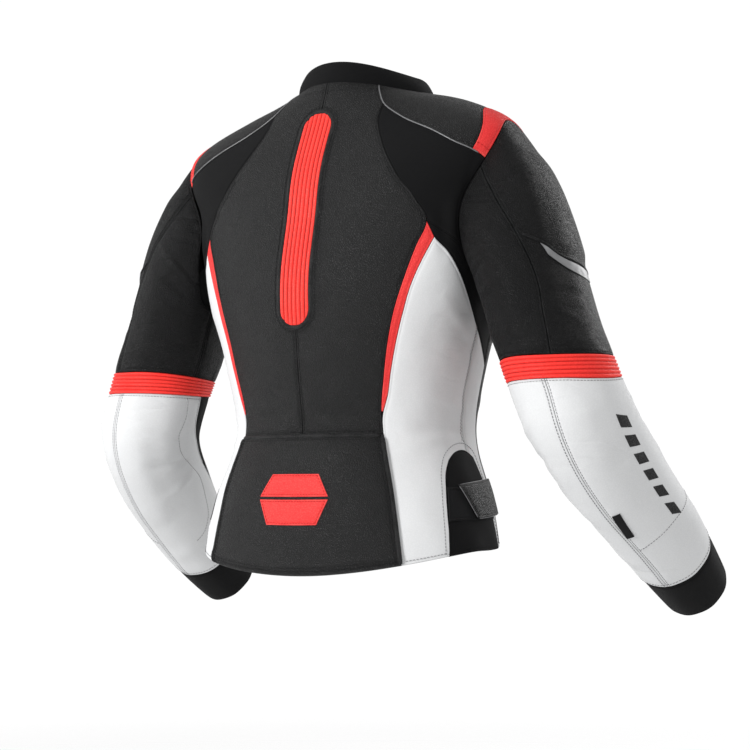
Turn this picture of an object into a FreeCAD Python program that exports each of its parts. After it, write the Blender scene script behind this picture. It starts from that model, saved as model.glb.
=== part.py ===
"""Leather riding jacket, women's M, worn shape with the arms a little forward.

Frame: origin at the centre-back neck seam, +Z up, +Y out of the back, +X to the wearer's left.
Every panel is a thin slab on one of two surfaces: torso(theta, v), with theta in degrees from the
centre back towards the wearer's right and v running from hem to neck seam, and sleeve(alpha, t),
with alpha 0 at the back, 90 outside, 180 in front, 270 inside, and t from armhole to cuff.
"""
import os

import FreeCAD
import Part
from math import atan2, cos, degrees, radians, sin, sqrt

V = FreeCAD.Vector

# ---------------------------------------------------------------- driving sizes, mm
back_length = 566.0          # neck seam to hem at the centre back
hem_half_width = 184.0
waist_half_width = 146.0
chest_half_width = 186.0
shoulder_half_width = 216.0
neck_half_width = 80.0
neck_depth = 83.0            # half the neck opening, front to back
side_length = 537.0          # height of the side hem below the origin
front_length = 520.0         # height of the front hem below the origin
waist_height = 402.0         # below the origin
armpit_height = 232.0        # below the origin
front_plane = -173.0         # y of the straight centre-front line

panel_wall = 2.5             # leather with its backing
seam_gap = 0.5               # between two sewn panels
lining_wall = 1.0
lining_gap = 1.2             # lining to leather
lining_front_gap = 2.8       # behind the flatter front, where the zip lies
armour_wall = 6.0
protector_wall = 8.0
patch_wall = 1.2             # emblem, reflective strip and loop tapes
patch_lift = 0.35            # appliques above the leather below them

lower_back_proud = 2.0       # the padded lower back stands off the rest by this
emblem_half_theta = 15.5
emblem_end_theta = 11.0      # half width of its upper and lower edges
emblem_rows = (0.095, 0.205, 0.147, 0.153)   # v of its ends, and of the slot across it
spine_half_width = 20.0
spine_top = -38.0            # z of the accordion panel's upper end
spine_bottom = -286.0
piping_width = 4.0
piping_proud = 2.0

collar_height = 24.0
collar_lean = 7.0            # the rim leans in this far
collar_wall = 3.5

zip_rail_width = 2.2
zip_rail_gap = 1.6           # between the two rows of teeth
zip_rail_wall = 2.0
zip_tape_width = 10.0
zip_tape_wall = 1.0
zip_top = -70.0
zip_bottom = -508.0
tape_end = 4.0               # the tapes run on past the teeth by this
flap_half_width = 20.0
flap_wall = 2.0
flap_gap = 1.6               # storm flap to the slider's back plate
slider_width = 9.0
slider_length = 13.0
slider_plate = 1.1
slider_clearance = 0.35
pull_length = 30.0
pull_width = 7.0
pull_wall = 1.6
pull_pin_radius = 0.9
pull_pin_clearance = 0.35

pocket_theta = 139.0
pocket_half_theta = 2.6
pocket_low_v = 0.20
pocket_high_v = 0.40
pocket_slider_margin = 4.0   # from the slider to the upper end of its tape
pocket_zip_wall = 1.2
pocket_slider_size = (7.0, 11.0, 2.4)
pocket_slider_lift = 0.9

tab_wall = 2.4
tab_lift = 3.6               # waist tab above the side panel's surface
loop_wall = 1.2

hang_loop_radius = 20.0
cuff_wall = 3.0
band_wall = 3.0
crook_wall = 1.6

# ---------------------------------------------------------------- the two surfaces
# v, half width, y of the middle, depth behind, heights at side, back and front, front squareness
torso_stations = [
    (0.00, hem_half_width, -46.0, 115.0, -side_length, -back_length, -front_length, 2.1),
    (0.15, 170.0, -50.0, 111.0, -476.0, -480.0, -474.0, 2.1),
    (0.32, waist_half_width, -57.0, 105.0, -waist_height, -waist_height, -waist_height, 2.1),
    (0.50, 161.0, -54.0, 114.0, -315.0, -315.0, -315.0, 2.4),
    (0.66, chest_half_width, -50.0, 113.0, -armpit_height, -armpit_height, -armpit_height, 2.7),
    (0.78, 203.0, -50.0, 102.0, -150.0, -168.0, -175.0, 2.5),
    (0.88, shoulder_half_width, -54.0, 92.0, -62.0, -100.0, -125.0, 2.2),
    (0.94, 149.0, -68.0, 84.0, -27.0, -46.0, -85.0, 2.1),
    (1.00, neck_half_width, -neck_depth, neck_depth, -2.0, 0.0, -60.0, 2.0),
]
back_squareness = 2.3
# t, x, y, z of the sleeve's centre line (wearer's right), outer radius, fore-and-aft radius
sleeve_stations = [
    (0.00, -198.0, -50.0, -148.0, 60.0, 66.0),
    (0.12, -213.0, -50.0, -175.0, 66.0, 72.0),
    (0.28, -236.0, -48.0, -230.0, 62.0, 70.0),
    (0.44, -260.0, -45.0, -292.0, 58.0, 66.0),
    (0.56, -281.0, -44.0, -342.0, 58.0, 63.0),
    (0.68, -305.0, -54.0, -402.0, 57.0, 61.0),
    (0.80, -322.0, -105.0, -462.0, 52.0, 56.0),
    (0.92, -337.0, -188.0, -533.0, 46.0, 46.0),
    (1.00, -339.0, -254.0, -580.0, 38.0, 40.0),
]
armhole_theta = 92.0
armhole_half_theta = 32.0
armhole_v = 0.7725
armhole_half_v = 0.1175
cap_blend = 0.30             # the sleeve takes the armhole's outline over this much of t
# t, how much flatter the sleeve is on its inner side, where it lies against the body
inner_tuck = [(0.0, 17.0), (0.28, 14.0), (0.44, 3.0), (0.56, 0.0), (1.0, 0.0)]

# ---------------------------------------------------------------- seams, (theta, v)
back_seam = [(42.5, 0.0), (41, 0.12), (40, 0.21), (39, 0.307), (38.3, 0.36), (39, 0.44),
             (39.5, 0.51), (40.5, 0.59), (42.5, 0.66), (44.5, 0.715), (46.5, 0.757),
             (39.5, 0.80), (31, 0.84), (26.5, 0.885), (27.5, 0.925), (34.3, 0.953)]
piping_seam = [(44, 1.0), (37, 0.975), (34.3, 0.953), (37.5, 0.925), (44, 0.897), (50, 0.87),
               (57.6, 0.8517), (65.2, 0.8365)]
strip_seam = [(39.1, 0.36), (41.2, 0.40), (42, 0.45), (43, 0.51), (44.2, 0.58), (45.5, 0.64),
              (48.2, 0.69), (51, 0.728)]
side_back_seam = [(42.5, 0.0), (41, 0.12), (40, 0.21), (39, 0.307), (38.8, 0.345), (41.2, 0.40),
                  (42, 0.45), (43, 0.51), (44.2, 0.58), (45.5, 0.64), (48.2, 0.69), (51, 0.728)]
underarm_seam = [(46.5, 0.757), (51, 0.728), (58, 0.703), (64, 0.677), (74, 0.628),
                 (82, 0.588), (91, 0.55), (101, 0.51), (110, 0.475)]
side_seam = [(91, 0.0), (91, 0.20), (91, 0.40), (91, 0.55)]
front_seam = [(112, 0.0), (111.5, 0.25), (110, 0.475), (106.5, 0.58), (103, 0.662)]
gusset_rear = [(63, -0.02), (64, 0.10), (65.2, 0.16), (68, 0.212), (72, 0.242)]
gusset_top = [(72, 0.242), (78, 0.262), (88, 0.268), (96.5, 0.25)]
gusset_fore = [(106, -0.02), (104, 0.10), (100, 0.20), (96.5, 0.25)]
waist_v = 0.307
chest_v = 0.662
band_rear_psi = 33.0
band_front_psi = 150.0
band_extra_theta = 9.0
band_extra_v = 0.028
blade_tip_margin = 0.03      # share of the blade panel left off where it narrows to nothing
yoke_front = [(127.5, 0.845), (126.5, 0.90), (124, 0.96), (122, 1.0)]

# seams on the sleeve, (alpha, t)
cap_rear_seam = [(28, 0.0), (26, 0.07), (26, 0.14), (30, 0.21), (35, 0.30), (36, 0.38),
                 (31, 0.46), (24, 0.56)]
cap_front_seam = [(152, 0.0), (156, 0.14), (160, 0.30), (163, 0.56)]
under_seam = -78.0
forearm_seam = [(10, 0.50), (9, 0.65), (8, 0.80), (7, 0.98)]
crook_rear = [(265, 0.50), (262, 0.59), (254, 0.67), (252, 0.735), (241, 0.79), (231, 0.826)]
crook_front = [(128, 0.6146), (150, 0.632), (180, 0.665), (200, 0.715), (217, 0.77), (228, 0.822)]
inner_seam = 229.5           # alpha of the forearm's inner seam at the cuff
crook_join = -96.0           # alpha where the crook panel meets the elbow band at the rear
cuff_t = 0.936
elbow_band_height = 0.050
sleeve_start = 0.009         # gap at the armhole that the shoulder hinge needs
gusset_start = 0.002
gusset_drop = 0.30           # depth of the underarm gusset, in t
gusset_reach = 55.0          # half its width, in alpha
chord_degrees = 60.0         # this much angle counts as one step along a seam
chord_rise = 0.25            # and so does this much v or t


def hermite(rows, x):
    """Smooth interpolation: each column of rows against the first column, and a little past its ends."""
    n = len(rows)
    i = 0
    while i < n - 2 and x > rows[i + 1][0]:
        i += 1
    h = rows[i + 1][0] - rows[i][0]
    t = (x - rows[i][0]) / h
    out = []
    for k in range(1, len(rows[0])):
        d = [(rows[j + 1][k] - rows[j][k]) / (rows[j + 1][0] - rows[j][0]) for j in range(n - 1)]

        def slope(j):
            if n == 2:
                return d[0]
            if 0 < j < n - 1:
                h0 = rows[j][0] - rows[j - 1][0]
                h1 = rows[j + 1][0] - rows[j][0]
                return (h1 * d[j - 1] + h0 * d[j]) / (h0 + h1)
            if j == 0:
                return (3 * d[0] - slope(1)) / 2
            return (3 * d[-1] - slope(n - 2)) / 2
        y0 = rows[i][k]
        y1 = rows[i + 1][k]
        out.append((2 * t**3 - 3 * t**2 + 1) * y0 + (t**3 - 2 * t**2 + t) * h * slope(i)
                   + (3 * t**2 - 2 * t**3) * y1 + (t**3 - t**2) * h * slope(i + 1))
    return out


def torso(theta, v):
    a, yc, bb, zs, zb, zf, nf = hermite(torso_stations, v)
    c = cos(radians(theta))
    s = sin(radians(theta))
    fade = min(max((v - 0.85) / 0.15, 0.0), 1.0)
    if c > 0:
        depth = bb
        n = back_squareness + (2.0 - back_squareness) * fade
        z_mid = zb
    else:
        depth = yc - front_plane
        n = nf
        z_mid = zf
    den = (abs(s)**n + abs(c)**n)**(1.0 / n)
    return V(-a * s / den, yc + depth * c / den, zs * s * s + z_mid * c * c)


def armhole(psi):
    """Armhole outline: 0 its rear edge, 90 the shoulder, 180 the front, 270 the armpit."""
    p = radians(psi)
    return (armhole_theta - armhole_half_theta * cos(p), armhole_v + armhole_half_v * sin(p))


def sleeve_frame(t):
    x, y, z, rl, rf = hermite(sleeve_stations, t)
    a = hermite(sleeve_stations, t + 0.001)
    b = hermite(sleeve_stations, t - 0.001)
    d = V(a[0] - b[0], a[1] - b[1], a[2] - b[2]).normalize()
    lateral = (V(-1, 0, 0) - d * (V(-1, 0, 0).dot(d))).normalize()
    back = d.cross(lateral)
    if back.y < 0:
        back = back * -1
    return V(x, y, z), d, lateral, back, rl, rf


def sleeve_ring(alpha, t):
    c, d, lateral, back, rl, rf = sleeve_frame(t)
    r = radians(alpha)
    inside = max(0.0, -sin(r))
    rl = rl - hermite(inner_tuck, t)[0] * inside**2
    return c + back * (rf * cos(r)) + lateral * (rl * sin(r))


def sleeve(alpha, t):
    p = sleeve_ring(alpha, t)
    if t >= cap_blend:
        return p
    start = torso(*armhole(alpha))
    w = (1 - t / cap_blend)**2
    p = p + (start - sleeve_ring(alpha, 0.0)) * w
    under = min(max(0.0, -sin(radians(alpha))) / 0.9, 1.0)
    under = under * under * (3 - 2 * under)
    if under > 0:
        f = max(t / cap_blend, 0.0)**1.3
        p = p * (1 - under) + (start * (1 - f) + sleeve_ring(alpha, cap_blend) * f) * under
    return p


def normal(surface, a, b):
    """Unit normal that points out of the body or out of the arm."""
    e = 0.002
    du = surface(a + 0.5, b) - surface(a - 0.5, b)
    dv = surface(a, b + e) - surface(a, b - e)
    n = du.cross(dv).normalize()
    return n if surface is torso else n * -1


# ---------------------------------------------------------------- curves in (theta, v) or (alpha, t)
def through(points, first=0, last=None):
    """Curve through points, as a function of 0..1, between two of its points."""
    last = len(points) - 1 if last is None else last
    chord = [0.0]
    for p, q in zip(points, points[1:]):
        turned = (q[0] - p[0]) / chord_degrees
        climbed = (q[1] - p[1]) / chord_rise
        chord.append(chord[-1] + sqrt(turned**2 + climbed**2))
    rows = [(c, p[0], p[1]) for c, p in zip(chord, points)]
    a = chord[first]
    b = chord[last]
    return lambda s: tuple(hermite(rows, a + (b - a) * s))


def straight(p, q):
    return lambda s: (p[0] + (q[0] - p[0]) * s, p[1] + (q[1] - p[1]) * s)


def chain(*pieces):
    """Several curves end to end; each is (curve, share of the length)."""
    total = sum(share for _, share in pieces)

    def at(s):
        left = s * total
        for curve, share in pieces[:-1]:
            if left <= share:
                return curve(left / share)
            left -= share
        curve, share = pieces[-1]
        return curve(min(left / share, 1.0))
    return at


def arc(outline, start, end):
    return lambda s: outline(start + (end - start) * s)


def reverse(curve):
    return lambda s: curve(1 - s)


def coons(bottom, top, left, right):
    """Patch between four curves that meet at its corners."""
    c00 = bottom(0)
    c10 = bottom(1)
    c01 = top(0)
    c11 = top(1)

    def at(r, s):
        b = bottom(r)
        t = top(r)
        f = left(s)
        g = right(s)
        out = []
        for k in (0, 1):
            out.append((1 - s) * b[k] + s * t[k] + (1 - r) * f[k] + r * g[k]
                       - (1 - r) * (1 - s) * c00[k] - r * (1 - s) * c10[k]
                       - (1 - r) * s * c01[k] - r * s * c11[k])
        return tuple(out)
    return at


def quad(low0, low1, high0, high1):
    """Patch with four straight sides, from its corners."""
    return coons(straight(low0, low1), straight(high0, high1), straight(low0, high0), straight(low1, high1))


# ---------------------------------------------------------------- slabs
def skin(points):
    surface = Part.BSplineSurface()
    surface.interpolate(points)
    return surface


def solid_between(outer, inner):
    """Closed solid between two grids of points."""
    skins = [skin(outer), skin(inner)]
    faces = [s.toShape() for s in skins]
    u0, u1, v0, v1 = skins[0].bounds()
    borders = [[s.uIso(u0) for s in skins], [s.uIso(u1) for s in skins],
               [s.vIso(v0) for s in skins], [s.vIso(v1) for s in skins]]
    for border in borders:
        wires = [Part.Wire(curve.toShape()) for curve in border]
        faces += Part.makeLoft(wires, False, True).Faces
    body = Part.makeCompound(faces)
    body.sewShape()
    made = Part.Solid(body.Shells[0])
    if made.Volume < 0:
        made.reverse()
    return made


def slab(surface, patch, outer, inner, columns, rows, gap=seam_gap):
    """Slab on a patch of a surface from the offset outer to the offset inner, inset by half a seam."""
    half = gap / 2
    u_low, u_high = [], []
    for j in range(rows + 1):
        s = j / rows
        steps = [surface(*patch(i / 6.0, s)) for i in range(7)]
        width = sum((q - p).Length for p, q in zip(steps, steps[1:]))
        u_low.append(min(half / max(width, 1e-6), 0.4))
    lengths = []
    for i in (0, 0.5, 1):
        steps = [surface(*patch(i, j / 12.0)) for j in range(13)]
        lengths.append(sum((q - p).Length for p, q in zip(steps, steps[1:])))
    inset = half / max(min(lengths), 1e-6)
    inset = min(inset, 0.2)
    out_grid = []
    in_grid = []
    for j in range(rows + 1):
        s = inset + (1 - 2 * inset) * j / rows
        margin = u_low[j]
        out_row = []
        in_row = []
        for i in range(columns + 1):
            r = margin + (1 - 2 * margin) * i / columns
            a, b = patch(r, s)
            p = surface(a, b)
            n = normal(surface, a, b)
            out_row.append(p + n * outer)
            in_row.append(p + n * inner)
        out_grid.append(out_row)
        in_grid.append(in_row)
    return solid_between(out_grid, in_grid)


def mirrored(shape):
    """The same piece on the wearer's left."""
    return shape.mirror(V(0, 0, 0), V(1, 0, 0))


def flip(patch):
    """The torso patch's mirror image, so that a left panel is made like a right one."""
    return lambda r, s: (-patch(1 - r, s)[0], patch(1 - r, s)[1])


def save(name, *shapes):
    shape = shapes[0] if len(shapes) == 1 else Part.makeCompound(list(shapes))
    for s in shape.Solids:
        if not s.isValid():
            print("check", name, "has a solid that is not valid")
    print("%-26s %8.1f cm3  %d" % (name, sum(s.Volume for s in shape.Solids) / 1000, len(shape.Solids)))
    shape.exportStep("parts/%s.step" % name)
    return shape


def pair(name, shape):
    save(name + "_right", shape)
    save(name + "_left", mirrored(shape))


def both(name, *shapes):
    """One node for the right and the left copy of a small fixed piece."""
    save(name, *(list(shapes) + [mirrored(s) for s in shapes]))


# ---------------------------------------------------------------- torso panels
def edge_theta_of_front():
    """theta of the front panel's edge beside the zip, so that the edge stays straight."""
    reach = zip_rail_gap / 2 + zip_rail_width + zip_tape_width + seam_gap

    def at(v):
        low = 90.0
        high = 180.0
        for _ in range(40):
            middle = (low + high) / 2
            if -torso(middle, v).x > reach:
                low = middle
            else:
                high = middle
        return (low + high) / 2
    return at


front_edge = edge_theta_of_front()


def vertical(curve_theta, v0, v1):
    return lambda s: (curve_theta(v0 + (v1 - v0) * s), v0 + (v1 - v0) * s)


def stadium(half_width, bottom, top):
    """Upright slot outline as a prism along Y, behind the wearer's shoulder blades."""
    r = half_width
    y0 = -60.0
    left = Part.Arc(V(-r, y0, top - r), V(0, y0, top), V(r, y0, top - r)).toShape()
    right = Part.Arc(V(r, y0, bottom + r), V(0, y0, bottom), V(-r, y0, bottom + r)).toShape()
    sides = [Part.LineSegment(V(r, y0, top - r), V(r, y0, bottom + r)).toShape(),
             Part.LineSegment(V(-r, y0, bottom + r), V(-r, y0, top - r)).toShape()]
    wire = Part.Wire([left, sides[0], right, sides[1]])
    return Part.Face(wire).extrude(V(0, 200, 0))


def spine_pieces():
    """Accordion panel in its slot, and the piping round it."""
    inner = stadium(spine_half_width, spine_bottom, spine_top)
    piping_out = stadium(spine_half_width + piping_width, spine_bottom - piping_width,
                         spine_top + piping_width)
    piping_in = stadium(spine_half_width + seam_gap, spine_bottom - seam_gap, spine_top + seam_gap)
    patch = coons(straight((-14, 0.53), (14, 0.53)), straight((-32, 0.985), (32, 0.985)),
                  straight((-14, 0.53), (-32, 0.985)), straight((14, 0.53), (32, 0.985)))
    panel = slab(torso, patch, 1.0, -panel_wall, 12, 24).common(inner)
    ring = slab(torso, patch, piping_proud, -panel_wall, 12, 24).common(piping_out.cut(piping_in))
    save("spine_stretch_panel", panel.Solids[0])
    save("spine_piping", ring.Solids[0])
    return stadium(spine_half_width + piping_width + seam_gap,
                   spine_bottom - piping_width - seam_gap, spine_top + piping_width + seam_gap)


def back_pieces():
    cutter = spine_pieces()
    right = chain((through(back_seam, 3, 15), 0.88), (through(piping_seam, 2, 0), 0.12))
    left = straight((0, waist_v), (0, 1.0))
    patch = coons(straight((0, waist_v), right(0)), straight((0, 1.0), (44, 1.0)), left, right)
    panel = slab(torso, patch, 0.0, -panel_wall, 12, 48).cut(cutter).Solids[0]
    pair("back_panel", panel)
    hem_edge = through(back_seam, 0, 3)
    rear = lambda s: (-hem_edge(s)[0], hem_edge(s)[1])
    patch = coons(straight((-42.5, 0), (42.5, 0)), straight((-39, waist_v), (39, waist_v)),
                  rear, hem_edge)
    save("lower_back_panel", slab(torso, patch, lower_back_proud, -panel_wall, 20, 14))
    strip = coons(straight(back_seam[4], strip_seam[0]), straight(back_seam[10], strip_seam[-1]),
                  through(back_seam, 4, 10), through(strip_seam))
    both("accent_strips", slab(torso, strip, 0.0, -panel_wall, 4, 24, 2 * seam_gap))


def emblem():
    """Plain six-sided patch in two halves, one above the other."""
    low, high, slot_low, slot_high = emblem_rows
    wide = emblem_half_theta
    narrow = emblem_end_theta
    base = lower_back_proud + patch_lift
    halves = []
    for v0, v1, w0, w1 in ((low, slot_low, narrow, wide), (slot_high, high, wide, narrow)):
        patch = quad((-w0, v0), (w0, v0), (-w1, v1), (w1, v1))
        halves.append(slab(torso, patch, base + patch_wall, base, 12, 4))
    save("lower_back_emblem", *halves)


def side_pieces():
    """White side panels, the hip gusset let into them, its loop tape and its tab."""
    gusset = coons(straight(gusset_rear[0], gusset_fore[0]), through(gusset_top),
                   through(gusset_rear), through(gusset_fore))
    cutter = slab(torso, gusset, 8.0, -8.0, 12, 14, -2 * seam_gap)
    rear = coons(straight((42.5, 0), (91, 0)), through(underarm_seam, 1, 6),
                 through(side_back_seam), through(side_seam))
    pair("side_panel", largest(slab(torso, rear, 0.0, -panel_wall, 16, 30).cut(cutter)))
    front = coons(straight((91, 0), (112, 0)), through(underarm_seam, 6, 8),
                  through(side_seam), through(front_seam, 0, 2))
    both("side_front_panels", largest(slab(torso, front, 0.0, -panel_wall, 8, 24).cut(cutter)))
    hem = lambda curve: chain((straight((curve[0][0], 0.0), curve[1]), 0.40),
                              (through(curve, 1, len(curve) - 1), 0.60))
    patch = coons(straight((63, 0), (106, 0)), through(gusset_top), hem(gusset_rear), hem(gusset_fore))
    both("hip_gussets", slab(torso, patch, -0.3, -panel_wall, 12, 14))
    tape = quad((64.6, 0.085), (103.4, 0.085), (66.4, 0.17), (100.5, 0.17))
    both("adjuster_loops", slab(torso, tape, patch_lift + loop_wall, patch_lift, 10, 6))
    tab = quad((84, 0.085), (110, 0.095), (73, 0.175), (105, 0.192))
    pair("waist_tab", slab(torso, tab, tab_lift + tab_wall, tab_lift, 12, 6))


def largest(shape):
    return max(shape.Solids, key=lambda s: s.Volume)


def blade_pieces():
    """Black stretch over the shoulder blade, and round under the arm."""
    low = through([back_seam[10], (56, 0.733), armhole(-30)])
    patch = coons(low, through(piping_seam, 2, 7), through(back_seam, 10, 15), arc(armhole, -30, 33))
    cut_tip = lambda r, s: patch(r, s * (1 - blade_tip_margin))
    pair("blade_panel", slab(torso, cut_tip, 0.0, -panel_wall, 14, 20))
    patch = coons(through(underarm_seam), arc(armhole, -30, -110), low,
                  through(front_seam, 2, 4))
    both("underarm_panels", slab(torso, patch, 0.0, -panel_wall, 24, 10))


def band_inner(psi):
    p = radians(psi)
    return (armhole_theta - (armhole_half_theta + band_extra_theta) * cos(p),
            armhole_v + (armhole_half_v + band_extra_v) * sin(p))


def band_curve():
    points = [band_inner(band_rear_psi + (band_front_psi - band_rear_psi) * k / 8.0) for k in range(9)]
    points += [(125.9, 0.81), (124.5, 0.785)]
    return points


def shoulder_pieces():
    inner = band_curve()
    bottom = through(inner, 0, 8)
    patch = coons(bottom, straight((44, 1.0), (122, 1.0)), through(piping_seam, 6, 0), through(yoke_front))
    pair("yoke", slab(torso, patch, 0.0, -panel_wall, 20, 14))
    patch = coons(arc(armhole, band_rear_psi, 176), through(inner), straight(armhole(33), inner[0]),
                  straight(armhole(176), inner[-1]))
    both("shoulder_bands", slab(torso, patch, 0.6, -panel_wall, 24, 4))


def front_pieces():
    left = through(front_seam)
    edge = vertical(front_edge, 0.0, chest_v)
    patch = coons(straight((112, 0), edge(0)), straight(front_seam[-1], edge(1)), left, edge)
    pair("front_panel", slab(torso, patch, 0.0, -panel_wall, 16, 24))
    inner = band_curve()
    left = chain((arc(armhole, 250, 184), 0.42), (straight(armhole(184), inner[10]), 0.04),
                 (through(inner, 10, 8), 0.16), (through(yoke_front), 0.38))
    start = armhole(250)
    edge = vertical(front_edge, start[1], 1.0)
    patch = coons(straight(start, edge(0)), straight((122, 1.0), edge(1)), left, edge)
    both("chest_panels", slab(torso, patch, 0.0, -panel_wall, 14, 36))


def collar():
    """Soft standing collar, open at the front."""
    def surface(theta, h):
        base = torso(theta, 1.0)
        middle = V(0, -neck_depth, base.z)
        out = (base - middle).normalize()
        lift = collar_height * (0.92 + 0.08 * cos(radians(2 * theta)))
        return base + V(0, 0, 1.0 + lift * h) - out * (collar_lean * h * h)
    out_grid = []
    in_grid = []
    end = degrees(atan2(neck_half_width * 0.07, 1.0 * neck_half_width))
    for j in range(7):
        outs = []
        ins = []
        for i in range(41):
            theta = -(180 - end) + 2 * (180 - end) * i / 40.0
            p = surface(theta, j / 6.0)
            c = V(0, -neck_depth, p.z)
            n = (p - c).normalize()
            outs.append(p)
            ins.append(p - n * collar_wall)
        out_grid.append(outs)
        in_grid.append(ins)
    save("collar", solid_between(out_grid, in_grid))


# ---------------------------------------------------------------- front zip
rail_in = zip_rail_gap / 2
rail_out = rail_in + zip_rail_width
zip_length = zip_top - zip_bottom


def box(x0, x1, y0, y1, z0, z1):
    return Part.makeBox(x1 - x0, y1 - y0, z1 - z0, V(x0, y0, z0))


def zip_pieces():
    y = front_plane
    rail = box(rail_in, rail_out, y - zip_rail_wall / 2, y + zip_rail_wall / 2, zip_bottom, zip_top)
    tape = box(rail_out, rail_out + zip_tape_width, y - zip_tape_wall / 2, y + zip_tape_wall / 2,
               zip_bottom - tape_end, zip_top + tape_end)
    save("front_zip_teeth", rail, mirrored(rail))
    save("front_zip_tapes", tape, mirrored(tape))
    back = y + zip_rail_wall / 2 + slider_clearance
    flap_front = back + slider_plate + flap_gap
    save("storm_flap", box(-flap_half_width, flap_half_width, flap_front, flap_front + flap_wall,
                           zip_bottom - tape_end, zip_top - tape_end))


slider_top = zip_top - 2.0
slider_low = slider_top - slider_length
pin_y = front_plane - zip_rail_wall / 2 - slider_clearance - slider_plate - 2.3
pin_z = slider_low + slider_length * 0.55
lug_wall = 1.2


def slider_and_pull():
    y = front_plane
    front0 = y - zip_rail_wall / 2 - slider_clearance
    back0 = y + zip_rail_wall / 2 + slider_clearance
    half = slider_width / 2
    body = box(-half, half, front0 - slider_plate, front0, slider_low, slider_top)
    body = body.fuse(box(-half, half, back0, back0 + slider_plate, slider_low, slider_top))
    post = rail_in - slider_clearance
    body = body.fuse(box(-post, post, front0, back0, slider_low, slider_top))
    eye_half = 1.6
    for side in (-1, 1):
        x0 = side * (eye_half + 0.3) if side > 0 else -(eye_half + 0.3 + lug_wall)
        lug = box(x0, x0 + lug_wall, pin_y - 1.5, front0 - slider_plate, pin_z - 1.5, pin_z + 1.5)
        body = body.fuse(lug)
    reach = eye_half + 0.3 + lug_wall
    pin = Part.makeCylinder(pull_pin_radius, 2 * reach, V(-reach, pin_y, pin_z), V(1, 0, 0))
    body = body.fuse(pin).removeSplitter()
    save("front_slider", body)
    hole = pull_pin_radius + pull_pin_clearance
    eye = Part.makeCylinder(hole + 0.55, 2 * eye_half, V(-eye_half, pin_y, pin_z), V(1, 0, 0))
    neck = box(-eye_half, eye_half, pin_y - pull_wall / 2, pin_y + pull_wall / 2, pin_z - 6, pin_z)
    tab = box(-pull_width / 2, pull_width / 2, pin_y - pull_wall / 2, pin_y + pull_wall / 2,
              pin_z - pull_length, pin_z - 5)
    upright = [e for e in tab.Edges if abs(e.Vertexes[0].Point.y - e.Vertexes[1].Point.y) > 1]
    tab = tab.makeFillet(1.8, upright)
    pull = eye.fuse(neck).fuse(tab)
    pull = pull.cut(Part.makeCylinder(hole, 4 * eye_half, V(-2 * eye_half, pin_y, pin_z), V(1, 0, 0)))
    save("front_pull", pull.removeSplitter())


# ---------------------------------------------------------------- pockets, inner pieces
def pocket_frame():
    """Ends of the pocket slider's straight run, lifted clear of the tape."""
    low = torso(pocket_theta, pocket_low_v)
    high = torso(pocket_theta, pocket_high_v)
    n = normal(torso, pocket_theta, (pocket_low_v + pocket_high_v) / 2)
    lift = patch_lift + pocket_zip_wall + pocket_slider_lift
    return low + n * lift, high + n * lift, n


def pocket_pieces():
    rear = pocket_theta - pocket_half_theta
    fore = pocket_theta + pocket_half_theta
    patch = quad((rear, pocket_low_v), (fore, pocket_low_v), (rear, pocket_high_v), (fore, pocket_high_v))
    both("pocket_zips", slab(torso, patch, patch_lift + pocket_zip_wall, patch_lift, 4, 10))
    low, high, n = pocket_frame()
    along = (high - low).normalize()
    across = along.cross(n).normalize()
    n = across.cross(along)
    w, h, d = pocket_slider_size
    start = high - along * (h + pocket_slider_margin)
    corners = [start - across * (w / 2), start + across * (w / 2),
               start + across * (w / 2) + along * h, start - across * (w / 2) + along * h]
    wire = Part.makePolygon(corners + [corners[0]])
    slider = Part.Face(wire).extrude(n * d)
    if slider.Volume < 0:
        slider.reverse()
    pair("pocket_slider", slider)


# theta from and to, v from and to: back, sides, fronts and the strips between them
lining_back = [(-58, 58, 0.03, 0.975), (59, 110, 0.03, 0.63), (-110, -59, 0.03, 0.63)]
lining_front = [(125, 168, 0.03, 0.94), (-168, -125, 0.03, 0.94), (111, 124, 0.03, 0.63),
                (-124, -111, 0.03, 0.63)]
lining_grid = (24, 40)
protector_edge = [(13, 0.37), (20, 0.50), (27, 0.72), (20, 0.90)]
protector_gap = 1.0
waist_zip_half_theta = 36.0
waist_zip_rows = (0.065, 0.095)
waist_zip_wall = 2.0
hang_loop_width = 6.0
hang_loop_wall = 1.2


def lining_piece(t0, t1, v0, v1, gap):
    depth = panel_wall + gap
    patch = quad((t0, v0), (t1, v0), (t0, v1), (t1, v1))
    return slab(torso, patch, -depth, -depth - lining_wall, *lining_grid)


def inner_pieces():
    pieces = [lining_piece(*corners, lining_gap) for corners in lining_back]
    pieces += [lining_piece(*corners, lining_front_gap) for corners in lining_front]
    save("torso_lining", *pieces)
    depth = panel_wall + lining_gap + lining_wall + protector_gap
    mirror_edge = [(-theta, v) for theta, v in protector_edge]
    low = protector_edge[0]
    high = protector_edge[-1]
    patch = coons(straight(mirror_edge[0], low), straight(mirror_edge[-1], high),
                  through(mirror_edge), through(protector_edge))
    save("back_protector", slab(torso, patch, -depth, -depth - protector_wall, 12, 20))
    half = waist_zip_half_theta
    v0, v1 = waist_zip_rows
    patch = quad((-half, v0), (half, v0), (-half, v1), (half, v1))
    save("waist_connection_zip", slab(torso, patch, -depth, -depth - waist_zip_wall, 16, 3))
    y = -panel_wall - lining_gap - lining_wall - 2 * hang_loop_wall
    top = V(0, y, -hang_loop_radius)
    outer = Part.makeCylinder(hang_loop_radius + hang_loop_width, hang_loop_wall, top, V(0, 1, 0))
    inner = Part.makeCylinder(hang_loop_radius, hang_loop_wall, top, V(0, 1, 0))
    half = box(-40, 40, y - 1, y + hang_loop_wall + 1, -hang_loop_radius, 10)
    save("hang_loop", outer.cut(inner).common(half))


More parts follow.
